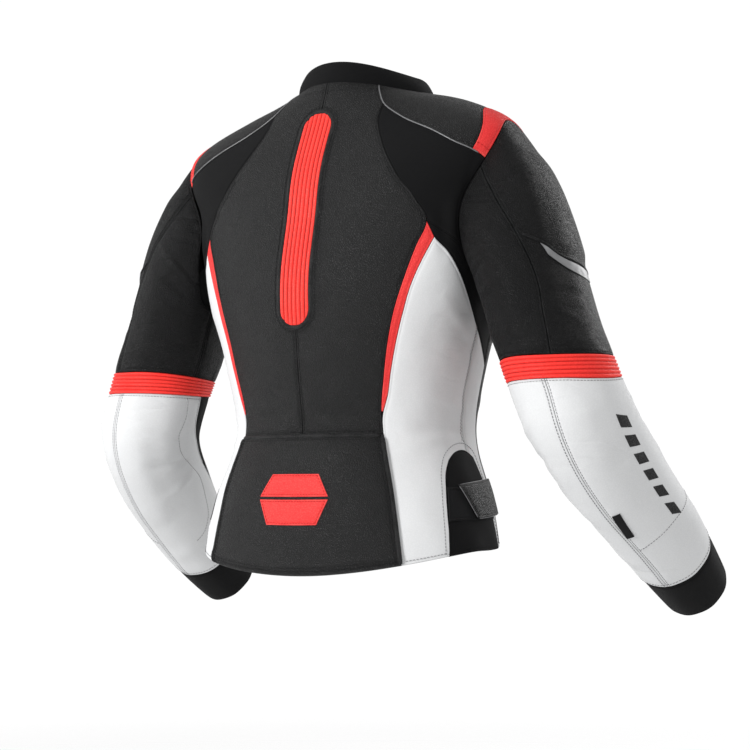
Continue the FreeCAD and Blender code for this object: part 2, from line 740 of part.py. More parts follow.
# ---------------------------------------------------------------- sleeves
def start_t(alpha):
    """Where the sleeve's own panels begin, below the underarm gusset."""
    drop = max(0.0, -sin(radians(alpha)))
    return sleeve_start + gusset_drop * drop**2


def band_top(alpha):
    a = radians(alpha)
    return 0.525 + 0.040 * sin(a) + 0.010 * (1 - cos(a)) / 2


def band_low(alpha):
    return band_top(alpha) + elbow_band_height


def alpha_at(seam, t):
    return hermite([(q[1], q[0]) for q in seam], t)[0]


def ring_edge(height, a0, a1):
    return lambda r: (a0 + (a1 - a0) * r, height(a0 + (a1 - a0) * r))


def panel_between(seam0, seam1, low, high):
    """Sleeve panel from the height low(alpha) to high(alpha) between two seams, alpha rising."""
    def corner(seam, height):
        t = 0.5
        for _ in range(30):
            t = height(seam(t))
        return seam(t), t

    a0, t0 = corner(seam0, low)
    a1, t1 = corner(seam1, low)
    b0, s0 = corner(seam0, high)
    b1, s1 = corner(seam1, high)
    left = lambda s: (seam0(t0 + (s0 - t0) * s), t0 + (s0 - t0) * s)
    right = lambda s: (seam1(t1 + (s1 - t1) * s), t1 + (s1 - t1) * s)
    return coons(ring_edge(low, a0, a1), ring_edge(high, b0, b1), left, right)


def upper_sleeve():
    rear = lambda t: alpha_at(cap_rear_seam, t)
    fore = lambda t: alpha_at(cap_front_seam, t)
    under0 = lambda t: under_seam
    under1 = lambda t: under_seam + 360.0
    specs = (("sleeve_cap", rear, fore, 20), ("sleeve_back", under0, rear, 16),
             ("sleeve_front", fore, under1, 18))
    for name, a, b, columns in specs:
        pair(name, slab(sleeve, panel_between(a, b, start_t, band_top), 0.0, -panel_wall, columns, 22))
    a0 = 270.0 - gusset_reach
    a1 = 270.0 + gusset_reach
    seam = lambda alpha: gusset_start
    patch = coons(ring_edge(seam, a0, a1), ring_edge(start_t, a0, a1),
                  straight((a0, gusset_start), (a0, start_t(a0))),
                  straight((a1, gusset_start), (a1, start_t(a1))))
    pair("underarm_gusset", slab(sleeve, patch, -0.3, -0.3 - crook_wall, 14, 5, 2 * seam_gap))
    depth = panel_wall + lining_gap
    patch = quad((55, 0.05), (128, 0.05), (65, 0.33), (118, 0.33))
    pair("shoulder_armour", slab(sleeve, patch, -depth, -depth - armour_wall, 10, 10))
    patch = coons(through([(53, 0.292), (71, 0.329), (116, 0.348)]),
                  through([(49, 0.267), (67, 0.307), (113, 0.331)]),
                  straight((53, 0.292), (49, 0.267)), straight((116, 0.348), (113, 0.331)))
    pair("reflective_strip", slab(sleeve, patch, patch_lift + patch_wall / 2, patch_lift, 8, 3))


def elbow_band():
    patch = coons(ring_edge(band_top, -90, 270), ring_edge(band_low, -90, 270),
                  lambda s: (-90, band_top(-90) + elbow_band_height * s),
                  lambda s: (270, band_top(270) + elbow_band_height * s))
    pair("elbow_stretch_band", slab(sleeve, patch, 0.8, -band_wall, 48, 6))


def forearm():
    outer = lambda t: alpha_at(forearm_seam, t)
    lower = crook_front[0]
    top = chain((ring_edge(band_low, outer(band_low(9)), lower[0]), 0.50),
                (through(crook_front), 0.50))
    corner = top(0)
    left = lambda s: (outer(cuff_t + (corner[1] - cuff_t) * s), cuff_t + (corner[1] - cuff_t) * s)
    patch = coons(straight((outer(cuff_t), cuff_t), (inner_seam, cuff_t)), top, left,
                  straight((inner_seam, cuff_t), top(1)))
    pair("forearm_outer", slab(sleeve, patch, 0.0, -panel_wall, 30, 22))
    points = [(q[0] - 360.0, q[1]) for q in crook_rear]
    points[0] = (crook_join, band_low(crook_join))
    inner_edge = chain((straight((inner_seam - 360, cuff_t), points[-1]), 0.30),
                       (through(points, len(points) - 1, 0), 0.70))
    patch = coons(straight((inner_seam - 360, cuff_t), (outer(cuff_t), cuff_t)),
                  ring_edge(band_low, crook_join, corner[0]), inner_edge, left)
    pair("forearm_under", slab(sleeve, patch, 0.0, -panel_wall, 20, 26))
    # crook panel: thin stretch between them, under the band's front and inner side
    rear_alpha = crook_join + 360.0
    rear = [(rear_alpha, band_low(rear_alpha))] + crook_rear[1:]
    patch = coons(ring_edge(band_low, lower[0], rear_alpha), straight(crook_front[-1], crook_rear[-1]),
                  through([(lower[0], band_low(lower[0]))] + crook_front[1:]), through(rear))
    pair("crook_panel", slab(sleeve, patch, -0.3, -0.3 - crook_wall, 18, 16, 2 * seam_gap))
    depth = panel_wall + lining_gap
    patch = quad((-32, 0.61), (48, 0.63), (-26, 0.80), (34, 0.80))
    pair("elbow_armour", slab(sleeve, patch, -depth, -depth - armour_wall, 10, 12))
    patch = quad((180, cuff_t), (540, cuff_t), (180, 1.0), (540, 1.0))
    pair("cuff", slab(sleeve, patch, 0.3, 0.3 - cuff_wall, 40, 6))


def main():
    os.makedirs("parts", exist_ok=True)
    back_pieces()
    emblem()
    side_pieces()
    blade_pieces()
    shoulder_pieces()
    front_pieces()
    collar()
    zip_pieces()
    slider_and_pull()
    pocket_pieces()
    inner_pieces()
    upper_sleeve()
    elbow_band()
    forearm()


main()
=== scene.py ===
import bpy
import numpy as np
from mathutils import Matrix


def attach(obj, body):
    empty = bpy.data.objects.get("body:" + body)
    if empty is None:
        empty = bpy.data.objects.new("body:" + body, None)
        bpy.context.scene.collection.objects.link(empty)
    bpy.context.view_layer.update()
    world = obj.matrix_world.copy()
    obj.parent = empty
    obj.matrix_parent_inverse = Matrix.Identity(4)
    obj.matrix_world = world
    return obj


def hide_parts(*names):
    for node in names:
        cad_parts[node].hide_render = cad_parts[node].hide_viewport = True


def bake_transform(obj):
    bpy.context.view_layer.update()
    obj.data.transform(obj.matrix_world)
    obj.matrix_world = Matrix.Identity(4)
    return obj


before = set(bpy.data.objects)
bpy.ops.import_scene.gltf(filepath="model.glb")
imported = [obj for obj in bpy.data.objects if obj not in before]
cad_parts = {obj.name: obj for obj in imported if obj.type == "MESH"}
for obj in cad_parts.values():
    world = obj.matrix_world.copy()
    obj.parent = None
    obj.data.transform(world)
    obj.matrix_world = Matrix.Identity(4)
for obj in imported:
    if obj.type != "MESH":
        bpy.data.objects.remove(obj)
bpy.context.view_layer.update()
print("frame loaded")

# The jacket's panels lie on two surfaces, in millimetres: the trunk, over theta and v, and the sleeve,
# over alpha and t. A panel is a patch between four seam curves on one of them.
mm = 0.001
body = {
    "side": 537.0, "back": 566.0, "front": 520.0,      # hem below the neck seam
    "frontPlane": -173.0,                              # y of the straight centre front
    "backSquareness": 2.3,
}
trunkStations = np.array([
    # v, half width, middle y, depth behind, height at side, back, front, front squareness
    (0.00, 184.0, -46.0, 115.0, -body["side"], -body["back"], -body["front"], 2.1),
    (0.15, 170.0, -50.0, 111.0, -476.0, -480.0, -474.0, 2.1),
    (0.32, 146.0, -57.0, 105.0, -402.0, -402.0, -402.0, 2.1),
    (0.50, 161.0, -54.0, 114.0, -315.0, -315.0, -315.0, 2.4),
    (0.66, 186.0, -50.0, 113.0, -232.0, -232.0, -232.0, 2.7),
    (0.78, 203.0, -50.0, 102.0, -150.0, -168.0, -175.0, 2.5),
    (0.88, 216.0, -54.0, 92.0, -62.0, -100.0, -125.0, 2.2),
    (0.94, 149.0, -68.0, 84.0, -27.0, -46.0, -85.0, 2.1),
    (1.00, 80.0, -83.0, 83.0, -11.0, 0.0, -61.0, 2.0),
])
sleeveStations = np.array([
    # t, centre x, y, z on the wearer's right, radius outwards, radius fore and aft
    (0.00, -198.0, -50.0, -148.0, 60.0, 66.0),
    (0.12, -213.0, -50.0, -175.0, 66.0, 72.0),
    (0.28, -236.0, -48.0, -230.0, 62.0, 70.0),
    (0.44, -260.0, -45.0, -292.0, 58.0, 66.0),
    (0.56, -281.0, -44.0, -342.0, 58.0, 63.0),
    (0.68, -305.0, -54.0, -402.0, 57.0, 61.0),
    (0.80, -322.0, -105.0, -462.0, 52.0, 56.0),
    (0.92, -337.0, -188.0, -533.0, 46.0, 46.0),
    (1.00, -339.0, -254.0, -580.0, 38.0, 40.0),
])
innerTuck = np.array([(0.0, 17.0), (0.28, 14.0), (0.44, 3.0), (0.56, 0.0), (1.0, 0.0)])
armhole = {"theta": 92.0, "halfTheta": 32.0, "v": 0.7725, "halfV": 0.1175, "blend": 0.30}
probe = {"angle": 0.5, "height": 0.002, "sleeve": 0.035}      # steps of the parameters for a direction


def smoothRows(rows, x):
    # Cubic Hermite through the rows, slopes weighted by the neighbouring steps.
    x = np.asarray(x, float)
    xs = rows[:, 0]
    ys = rows[:, 1:]
    h = np.diff(xs)
    d = np.diff(ys, axis=0) / h[:, None]
    m = np.zeros_like(ys)
    m[1:-1] = (h[1:, None] * d[:-1] + h[:-1, None] * d[1:]) / (h[1:] + h[:-1])[:, None]
    m[0] = (3 * d[0] - m[1]) / 2 if len(xs) > 2 else d[0]
    m[-1] = (3 * d[-1] - m[-2]) / 2 if len(xs) > 2 else d[-1]
    i = np.clip(np.searchsorted(xs, x, side="right") - 1, 0, len(xs) - 2)
    t = ((x - xs[i]) / h[i])[..., None]
    w = h[i][..., None]
    return ((2 * t**3 - 3 * t**2 + 1) * ys[i] + (t**3 - 2 * t**2 + t) * w * m[i]
            + (3 * t**2 - 2 * t**3) * ys[i + 1] + (t**3 - t**2) * w * m[i + 1])


def smoothStep(x, low, high):
    # 0 below low, 1 above high, 3f^2 - 2f^3 between.
    f = np.clip((x - low) / (high - low), 0, 1)
    return f * f * (3 - 2 * f)


def trunk(theta, v):
    # Superellipse rings whose width, depth and height run smoothly from hem to neck.
    theta, v = np.broadcast_arrays(np.asarray(theta, float), np.asarray(v, float))
    a, yc, bb, zs, zb, zf, nf = np.moveaxis(smoothRows(trunkStations, v), -1, 0)
    c = np.cos(np.radians(theta))
    s = np.sin(np.radians(theta))
    fade = np.clip((v - 0.85) / 0.15, 0, 1)
    behind = c > 0
    depth = np.where(behind, bb, yc - body["frontPlane"])
    n = np.where(behind, body["backSquareness"] + (2.0 - body["backSquareness"]) * fade, nf)
    den = (np.abs(s)**n + np.abs(c)**n)**(1 / n)
    z = zs * s * s + np.where(behind, zb, zf) * c * c
    return np.stack([-a * s / den, yc + depth * c / den, z], -1)


def armholeAt(psi):
    # Ellipse in theta and v: 0 its rear edge, 90 the shoulder, 180 the front, 270 the armpit.
    p = np.radians(psi)
    return np.stack([armhole["theta"] - armhole["halfTheta"] * np.cos(p),
                     armhole["v"] + armhole["halfV"] * np.sin(p)], -1)


def unit(a):
    # Vectors over their lengths.
    return a / np.maximum(np.linalg.norm(a, axis=-1, keepdims=True), 1e-9)


def sleeveRing(alpha, t):
    # Ellipse across the arm's centre line, flatter on the inner side near the body.
    r = np.radians(alpha)
    rows = smoothRows(sleeveStations, t)
    ahead = smoothRows(sleeveStations, t + probe["sleeve"])
    d = unit((ahead - smoothRows(sleeveStations, t - probe["sleeve"]))[..., :3])
    side = np.broadcast_to(np.array([-1.0, 0, 0]), d.shape)
    side = unit(side - d * np.sum(side * d, -1, keepdims=True))
    back = np.cross(d, side)
    back = back * np.where(back[..., 1:2] < 0, -1, 1)
    inside = np.maximum(0, -np.sin(r))
    outward = rows[..., 3] - smoothRows(innerTuck, t)[..., 0] * inside**2
    return (rows[..., :3] + back * (rows[..., 4] * np.cos(r))[..., None]
            + side * (outward * np.sin(r))[..., None])


def sleeve(alpha, t):
    # The ring, drawn onto the armhole's outline over the first part of the arm.
    alpha, t = np.broadcast_arrays(np.asarray(alpha, float), np.asarray(t, float))
    p = sleeveRing(alpha, t)
    hole = armholeAt(alpha)
    start = trunk(hole[..., 0], hole[..., 1])
    share = np.clip(1 - t / armhole["blend"], 0, None)
    q = p + (start - sleeveRing(alpha, np.zeros_like(t))) * (share**2)[..., None]
    under = smoothStep(-np.sin(np.radians(alpha)), 0.0, 0.9)[..., None]
    f = (np.clip(t / armhole["blend"], 0, None)**1.3)[..., None]
    straightDown = start * (1 - f) + sleeveRing(alpha, np.full_like(t, armhole["blend"])) * f
    q = q * (1 - under) + straightDown * under
    return np.where((t < armhole["blend"])[..., None], q, p)


def normalOf(surface, a, b):
    # Cross product of small steps along the surface's two parameters.
    du = surface(a + probe["angle"], b) - surface(a - probe["angle"], b)
    dv = surface(a, b + probe["height"]) - surface(a, b - probe["height"])
    return unit(np.cross(du, dv)) * (1 if surface is trunk else -1)


# Soft folds: (a, b) at each end, half width and height in mm. A point's push is a bell over its distance.
trunkFolds = [
    (60, 0.40, 100, 0.36, 9, 1.6), (50, 0.33, 96, 0.31, 10, -1.8), (46, 0.28, 84, 0.31, 9, 1.3),
    (58, 0.62, 84, 0.53, 10, 1.2), (70, 0.56, 98, 0.47, 9, -1.2),
    (54, 0.80, 62, 0.70, 8, 1.6), (50, 0.79, 58, 0.68, 7, -1.4), (59, 0.86, 62, 0.74, 7, -1.2),
    (12, 0.45, 34, 0.40, 12, 0.9), (6, 0.36, 34, 0.345, 10, -1.0), (8, 0.50, 30, 0.52, 14, 0.7),
    (118, 0.62, 140, 0.55, 12, 1.6), (114, 0.40, 150, 0.35, 12, 1.6), (116, 0.33, 152, 0.31, 12, -1.6),
    (120, 0.74, 146, 0.80, 12, 1.4), (40, 0.10, 70, 0.05, 14, 1.0), (20, 0.20, 40, 0.26, 16, 0.8),
]
sleeveFolds = [
    (-40, 0.20, 20, 0.16, 8, 2.0), (-50, 0.27, 14, 0.23, 8, -1.6), (-46, 0.34, 10, 0.31, 9, 1.4),
    (-70, 0.42, 0, 0.46, 9, 1.5), (-60, 0.47, 18, 0.50, 7, -1.3), (40, 0.44, 80, 0.50, 9, 1.2),
    (30, 0.39, 100, 0.42, 10, -1.2), (150, 0.30, 210, 0.36, 9, 1.8), (140, 0.42, 230, 0.46, 8, 1.8),
    (150, 0.49, 220, 0.51, 7, -1.6),
    (-80, 0.66, -10, 0.62, 8, 1.8), (-86, 0.70, -20, 0.69, 7, -2.0), (-90, 0.74, -24, 0.77, 8, 2.0),
    (-80, 0.79, 0, 0.83, 9, -1.6), (-60, 0.87, 10, 0.90, 9, 1.4), (20, 0.64, 70, 0.66, 12, 1.0),
    (30, 0.74, 76, 0.71, 12, -1.0), (36, 0.82, 96, 0.86, 12, 1.2), (110, 0.66, 200, 0.70, 9, 2.0),
    (116, 0.72, 205, 0.74, 8, -2.0), (120, 0.79, 210, 0.78, 9, 1.8), (60, 0.90, 140, 0.89, 10, 1.2),
    (-70, 0.93, 40, 0.915, 8, 1.0),
]
foldScale = {"trunk": (2.6, 600.0), "sleeve": (1.05, 640.0)}      # mm per degree and per unit of v or t


def foldPush(folds, scale, a, b):
    # Sum over the folds of height x sine along the fold x a bell of the distance from its line.
    push = np.zeros(np.broadcast(a, b).shape)
    for a0, b0, a1, b1, width, height in folds:
        dx, dy = (a1 - a0) * scale[0], (b1 - b0) * scale[1]
        px, py = (a - a0) * scale[0], (b - b0) * scale[1]
        along = np.clip((px * dx + py * dy) / (dx * dx + dy * dy), 0, 1)
        away = (px - along * dx)**2 + (py - along * dy)**2
        push = push + height * np.sin(np.pi * along) * np.exp(-away / (2 * (width / 1.6)**2))
    return push


armourBulges = {
    # rises and falls between these angles, then between these values of t, by a height in mm
    "shoulder": {"around": (38, 58, 122, 142), "down": (0.05, 0.10, 0.27, 0.31), "height": 3.0},
    "elbow": {"around": (-46, -20, 36, 60), "down": (0.60, 0.66, 0.78, 0.85), "height": 2.5},
}


def bulge(name, a, b):
    # A height inside a window with soft edges, round the arm and down it.
    a0, a1, a2, a3 = armourBulges[name]["around"]
    b0, b1, b2, b3 = armourBulges[name]["down"]
    inside = smoothStep(a, a0, a1) * (1 - smoothStep(a, a2, a3)) * smoothStep(b, b0, b1)
    return armourBulges[name]["height"] * (inside * (1 - smoothStep(b, b2, b3)))


def push(surface, a, b):
    # How far the leather stands off the plain surface: folds, slow waves and the armour's bulge.
    if surface is trunk:
        waves = 0.5 * np.cos(0.11 * a) * np.sin(21 * b) + 0.25 * np.cos(0.31 * a) * np.sin(33 * b + 1)
        quiet = 1 - 0.7 * smoothStep(b, 0.80, 0.9)
        return (foldPush(trunkFolds, foldScale["trunk"], np.abs(a), b) + waves) * quiet
    wrapped = (a + 110) % 360 - 110
    waves = 0.5 * np.sin(0.06 * wrapped + 24 * b) * np.sin(0.09 * wrapped - 15 * b)
    settle = smoothStep(b, 0.0, 0.03)
    return (foldPush(sleeveFolds, foldScale["sleeve"], wrapped, b) + waves
            + bulge("shoulder", wrapped, b) + bulge("elbow", wrapped, b)) * settle


# Seams as points in (theta, v) or (alpha, t).
backSeam = [(42.5, 0.0), (41, 0.12), (40, 0.21), (39, 0.307), (38.3, 0.36), (39, 0.44), (39.5, 0.51),
            (40.5, 0.59), (42.5, 0.66), (44.5, 0.715), (46.5, 0.757), (39.5, 0.80), (31, 0.84),
            (26.5, 0.885), (27.5, 0.925), (34.3, 0.953)]
pipingSeam = [(44, 1.0), (37, 0.975), (34.3, 0.953), (37.5, 0.925), (44, 0.897), (50, 0.87),
              (57.6, 0.8517), (65.2, 0.8365)]
stripSeam = [(39.1, 0.36), (41.2, 0.40), (42, 0.45), (43, 0.51), (44.2, 0.58), (45.5, 0.64),
             (48.2, 0.69), (51, 0.728)]
sideBackSeam = [(42.5, 0.0), (41, 0.12), (40, 0.21), (39, 0.307), (38.8, 0.345), (41.2, 0.40),
                (42, 0.45), (43, 0.51), (44.2, 0.58), (45.5, 0.64), (48.2, 0.69), (51, 0.728)]
underarmSeam = [(46.5, 0.757), (51, 0.728), (58, 0.703), (64, 0.677), (74, 0.628), (82, 0.588),
                (91, 0.55), (101, 0.51), (110, 0.475)]
frontSeam = [(112, 0.0), (111.5, 0.25), (110, 0.475), (106.5, 0.58), (103, 0.662)]
gussetRear = [(63, 0.0), (64, 0.10), (65.2, 0.16), (68, 0.212), (72, 0.242)]
gussetTop = [(72, 0.242), (78, 0.262), (88, 0.268), (96.5, 0.25)]
gussetFore = [(106, 0.0), (104, 0.10), (100, 0.20), (96.5, 0.25)]
yokeFront = [(127.5, 0.845), (126.5, 0.90), (124, 0.96), (122, 1.0)]
waistV = 0.307
capRear = [(28, 0.0), (26, 0.07), (26, 0.14), (30, 0.21), (35, 0.30), (36, 0.38), (31, 0.46), (24, 0.56)]
capFront = [(152, 0.0), (156, 0.14), (160, 0.30), (163, 0.56)]
underSeam = -78.0
forearmSeam = [(10, 0.50), (9, 0.65), (8, 0.80), (7, 0.98)]
crookRear = [(264, 0.5376), (262, 0.59), (254, 0.67), (252, 0.735), (241, 0.79), (231, 0.826)]
crookFront = [(128, 0.6146), (150, 0.632), (180, 0.665), (200, 0.715), (217, 0.77), (228, 0.822)]
elbowInner = [(-74, 0.545), (-78, 0.60), (-72, 0.64), (-73, 0.67), (-83, 0.726), (-92, 0.779),
              (-86, 0.829), (-70, 0.857), (-47, 0.870)]
cuffT = 0.936


def through(points, first=0, last=None):
    # Curve through the points, over 0 to 1, by their distance apart.
    pts = np.array(points, float)
    last = len(pts) - 1 if last is None else last
    step = np.sqrt((np.diff(pts[:, 0]) / 60)**2 + (np.diff(pts[:, 1]) * 4)**2)
    chord = np.concatenate([[0], np.cumsum(step)])
    rows = np.column_stack([chord, pts])
    return lambda s: smoothRows(rows, chord[first] + (chord[last] - chord[first]) * np.asarray(s, float))


def straight(p, q):
    # Straight line from p to q over 0 to 1.
    p, q = np.array(p, float), np.array(q, float)
    return lambda s: p + (q - p) * np.asarray(s, float)[..., None]


def chain(*pieces):
    # Curves end to end, each with its share of the length.
    total = sum(share for curve, share in pieces)

    def at(s):
        s = np.asarray(s, float)
        out = np.zeros(s.shape + (2,))
        low = 0.0
        for curve, share in pieces:
            high = low + share / total
            part = (s >= low) if high > 0.9999 else (s >= low) & (s < high)
            if np.any(part):
                out[part] = curve(np.clip((s[part] - low) / (high - low), 0, 1))
            low = high
        return out
    return at


def coons(bottom, top, left, right):
    # Patch between four curves that meet at its corners.
    corner = [bottom(np.array(0.0)), bottom(np.array(1.0)), top(np.array(0.0)), top(np.array(1.0))]

    def at(r, s):
        b, t, f, g = bottom(r), top(r), left(s), right(s)
        r, s = r[..., None], s[..., None]
        return ((1 - s) * b + s * t + (1 - r) * f + r * g - (1 - r) * (1 - s) * corner[0]
                - r * (1 - s) * corner[1] - (1 - r) * s * corner[2] - r * s * corner[3])
    return at


def quad(low0, low1, high0, high1):
    # Four-sided patch between its corners.
    return coons(straight(low0, low1), straight(high0, high1), straight(low0, high0), straight(low1, high1))


def rectangle(a0, b0, a1, b1):
    # Patch between two values of each parameter.
    return quad((a0, b0), (a1, b0), (a0, b1), (a1, b1))


# Meshes
def addObject(name, verts, faces, uvs=None, seam=None):
    # A smooth mesh from arrays in mm, with its cloth UV map and its seam attribute: the distance from the
    # seam, and on the ribbed pieces the rib height that places painted shade in the grooves.
    mesh = bpy.data.meshes.new(name)
    verts = np.ascontiguousarray(verts, np.float32)
    faces = np.ascontiguousarray(faces, np.int32)
    mesh.vertices.add(len(verts))
    mesh.vertices.foreach_set("co", (verts * mm).ravel().astype(np.float32))
    mesh.loops.add(faces.size)
    mesh.polygons.add(len(faces))
    mesh.polygons.foreach_set("loop_start", np.arange(0, faces.size, faces.shape[1], dtype=np.int32))
    mesh.loops.foreach_set("vertex_index", faces.ravel())
    mesh.polygons.foreach_set("use_smooth", np.ones(len(faces), bool))
    mesh.update(calc_edges=True)
    if uvs is not None:
        layer = mesh.uv_layers.new(name="cloth")
        layer.data.foreach_set("uv", (np.asarray(uvs)[faces.ravel()] * mm).astype(np.float32).ravel())
    if seam is not None:
        layer = mesh.attributes.new("seam", "FLOAT", "POINT")
        layer.data.foreach_set("value", np.asarray(seam, np.float32))
    mesh.validate()
    obj = bpy.data.objects.new(name, mesh)
    bpy.context.scene.collection.objects.link(obj)
    return obj


def gridFaces(rows, columns, start=0, wrap=False):
    # Quads between neighbours of a grid, closed across its columns where it wraps.
    i, j = np.meshgrid(np.arange(rows - 1), np.arange(columns if wrap else columns - 1), indexing="ij")
    k = (j + 1) % columns
    a = start + i * columns + j
    b = start + i * columns + k
    c = start + (i + 1) * columns + k
    d = start + (i + 1) * columns + j
    return np.stack([a, b, c, d], -1).reshape(-1, 4)


def slabFaces(rows, columns):
    # Faces of a slab whose outer grid is followed by its inner one: both skins and the wall round them.
    count = rows * columns
    skin = gridFaces(rows, columns)
    ring = np.concatenate([np.arange(columns), columns * np.arange(1, rows) + columns - 1,
                           count - 2 - np.arange(columns - 1), columns * np.arange(rows - 2, 0, -1)])
    after = np.roll(ring, -1)
    wall = np.stack([after, ring, ring + count, after + count], -1)
    return np.concatenate([skin, skin[:, ::-1] + count, wall])


def bothSkins(across, along):
    # A slab's cloth map: the same two directions for its outer and its inner skin.
    return np.concatenate([np.stack([across, along], -1).reshape(-1, 2)] * 2)


def outwards(faces, grid, normal, i, j):
    # Turns the faces round where the grid's own winding at row i, column j goes against the normal.
    facing = np.cross(grid[i, j + 1] - grid[i, j], grid[i + 1, j] - grid[i, j])
    return faces[:, ::-1] if np.dot(facing, normal) < 0 else faces


def marks(length, step, near):
    # Places along a side: close together by both edges, then evenly spaced.
    near = np.array(near) * min(1.0, length / (4 * near[-1]))
    count = max(int((length - 2 * near[-1]) / step), 2)
    middle = np.linspace(near[-1], length - near[-1], count + 1)
    return np.concatenate([near[:-1], middle, (length - near[:-1])[::-1]])


edgeMarks = (0.0, 0.3, 0.8, 1.4, 2.0, 2.7, 3.4, 4.6, 7.0)
ribMarks = (0.0, 0.3, 0.8, 1.3, 1.8)
edgeShape = {"puffReach": 7.0, "furrowAt": 2.7, "furrowWidth": 0.75}


def layOut(surface, patch, step, gap, close):
    # Grid of patch parameters whose lines stay at set distances from the patch's sides.
    k = np.linspace(0, 1, 25)
    rr, ss = np.meshgrid(k, k)
    p = surface(*np.moveaxis(patch(rr, ss), -1, 0))
    widths = np.linalg.norm(np.diff(p, axis=1), axis=-1).sum(1)
    lengths = np.linalg.norm(np.diff(p, axis=0), axis=-1).sum(0)
    across = marks(widths.max(), step[0], close)
    along = marks(lengths.max(), step[1], close)
    nominalU = across / across[-1]
    nominalV = along / along[-1]

    def spread(places, size):
        # The same marks on a shorter side: edge distances kept where they fit, the middle squeezed.
        half = places[-1] / 2
        near = close[-1] * min(1.0, half / (2 * close[-1]))
        squeeze = (np.minimum(close[-1], size / 4) / near)[..., None]
        fromEdge = np.minimum(places, places[-1] - places)
        kept = np.minimum(fromEdge, near) * squeeze
        rest = np.maximum(fromEdge - near, 0) / max(half - near, 1e-6)
        inner = size[..., None] / 2 - near * squeeze
        d = gap / 2 + (kept + rest * inner) * (1 - gap / size[..., None])
        return np.where(places <= half, d, size[..., None] - d)

    widthAt = np.interp(nominalV, k, widths)
    lengthAt = np.interp(nominalU, k, lengths)
    du = spread(across, widthAt)
    dv = spread(along, lengthAt).T
    r = du / widthAt[:, None]
    s = dv / lengthAt[None, :]
    edge = np.minimum(np.minimum(du, widthAt[:, None] - du), np.minimum(dv, lengthAt[None, :] - dv)) - gap / 2
    return r, s, np.maximum(edge, 0), du, dv


def rollOff(edge, radius):
    # Quarter round at a panel's edge.
    x = np.clip(1 - edge / radius, 0, 1)
    return -radius * (1 - np.sqrt(np.maximum(1 - x * x, 0)))


class Panel:
    # A slab on a surface, with rolled edges, made once for the right side and mirrored for the left.
    def __init__(self, surface, patch, lift=0.0, wall=2.4, roll=1.1, puff=0.8, gap=0.35, step=(3.6, 3.6),
                 shape=None, folds=1.0, close=edgeMarks, furrow=0.45):
        self.surface, self.patch, self.lift, self.roll, self.puff = surface, patch, lift, roll, puff
        self.shape, self.folds, self.furrow = shape, folds, furrow
        r, s, edge, du, dv = layOut(surface, patch, step, gap, close)
        ab = patch(r, s)
        a, b = ab[..., 0], ab[..., 1]
        base = surface(a, b)
        n = normalOf(surface, a, b)
        height = self.height(a, b, edge)
        outer = base + n * height[..., None]
        lowered = lift + folds * push(surface, a, b) - wall
        inner = base + n * np.minimum(height - 0.3, lowered)[..., None]
        rows, columns = r.shape
        verts = np.concatenate([outer.reshape(-1, 3), inner.reshape(-1, 3)])
        middle = rows // 2, columns // 2
        self.verts, self.faces = verts, outwards(slabFaces(rows, columns), outer, n[middle], *middle)
        self.uvs = bothSkins(du, dv)
        self.seam = np.concatenate([edge.ravel(), edge.ravel() * 0 + 9])
        made = np.zeros(a.shape) if shape is None else shape(a, b, edge) + 0.9
        self.rise = np.concatenate([made.ravel(), made.ravel() * 0 + 4])

    def height(self, a, b, edge):
        # Lift, folds, rolled edge, puff that grows away from the edge, and the furrow of the stitches.
        rise = self.lift + self.folds * push(self.surface, a, b)
        rise = rise + rollOff(edge, self.roll) + self.puff * (1 - np.exp(-edge / edgeShape["puffReach"]))
        dimple = (edge - edgeShape["furrowAt"]) / edgeShape["furrowWidth"]
        rise = rise - self.furrow * np.exp(-dimple**2)
        return rise if self.shape is None else rise + self.shape(a, b, edge)

    def line(self, side, distance, spread=(0.0, 1.0)):
        # Points on the panel at a set distance from one side: 0 bottom, 1 top, 2 left, 3 right.
        k = np.linspace(spread[0], spread[1], 400)
        across, along = np.meshgrid(np.linspace(0, 1, 25), k)
        ab = self.patch(along, across) if side < 2 else self.patch(across, along)
        p = self.surface(ab[..., 0], ab[..., 1])
        size = np.linalg.norm(np.diff(p, axis=1), axis=-1).sum(1)
        f = np.minimum(distance / size, 0.45)
        f = 1 - f if side in (1, 3) else f
        ab = self.patch(k, f) if side < 2 else self.patch(f, k)
        return self.rest(ab, distance)

    def rest(self, ab, distance=8.0):
        # Points on the panel's face at given parameters, with their normals.
        a, b = ab[..., 0], ab[..., 1]
        n = normalOf(self.surface, a, b)
        return self.surface(a, b) + n * self.height(a, b, np.full(a.shape, distance))[..., None], n


def onSurface(surface, ab, lift):
    # Points a set lift above the folded surface, with their normals.
    a, b = ab[..., 0], ab[..., 1]
    n = normalOf(surface, a, b)
    return surface(a, b) + n * (lift + push(surface, a, b))[..., None], n


def resample(p, n, pitch):
    # Points an even step apart along a polyline, with their normals and directions.
    d = np.concatenate([[0], np.cumsum(np.linalg.norm(np.diff(p, axis=0), axis=1))])
    count = max(int(d[-1] / pitch), 1)
    at = (np.arange(count) + 0.5) * d[-1] / count
    q = np.stack([np.interp(at, d, p[:, k]) for k in range(3)], -1)
    m = unit(np.stack([np.interp(at, d, n[:, k]) for k in range(3)], -1))
    ahead = np.stack([np.interp(at + 0.4, d, p[:, k]) for k in range(3)], -1)
    behind = np.stack([np.interp(at - 0.4, d, p[:, k]) for k in range(3)], -1)
    return q, m, unit(ahead - behind)


stitch = {"pitch": 3.7, "length": 2.8, "radius": 0.42, "lift": 0.14}


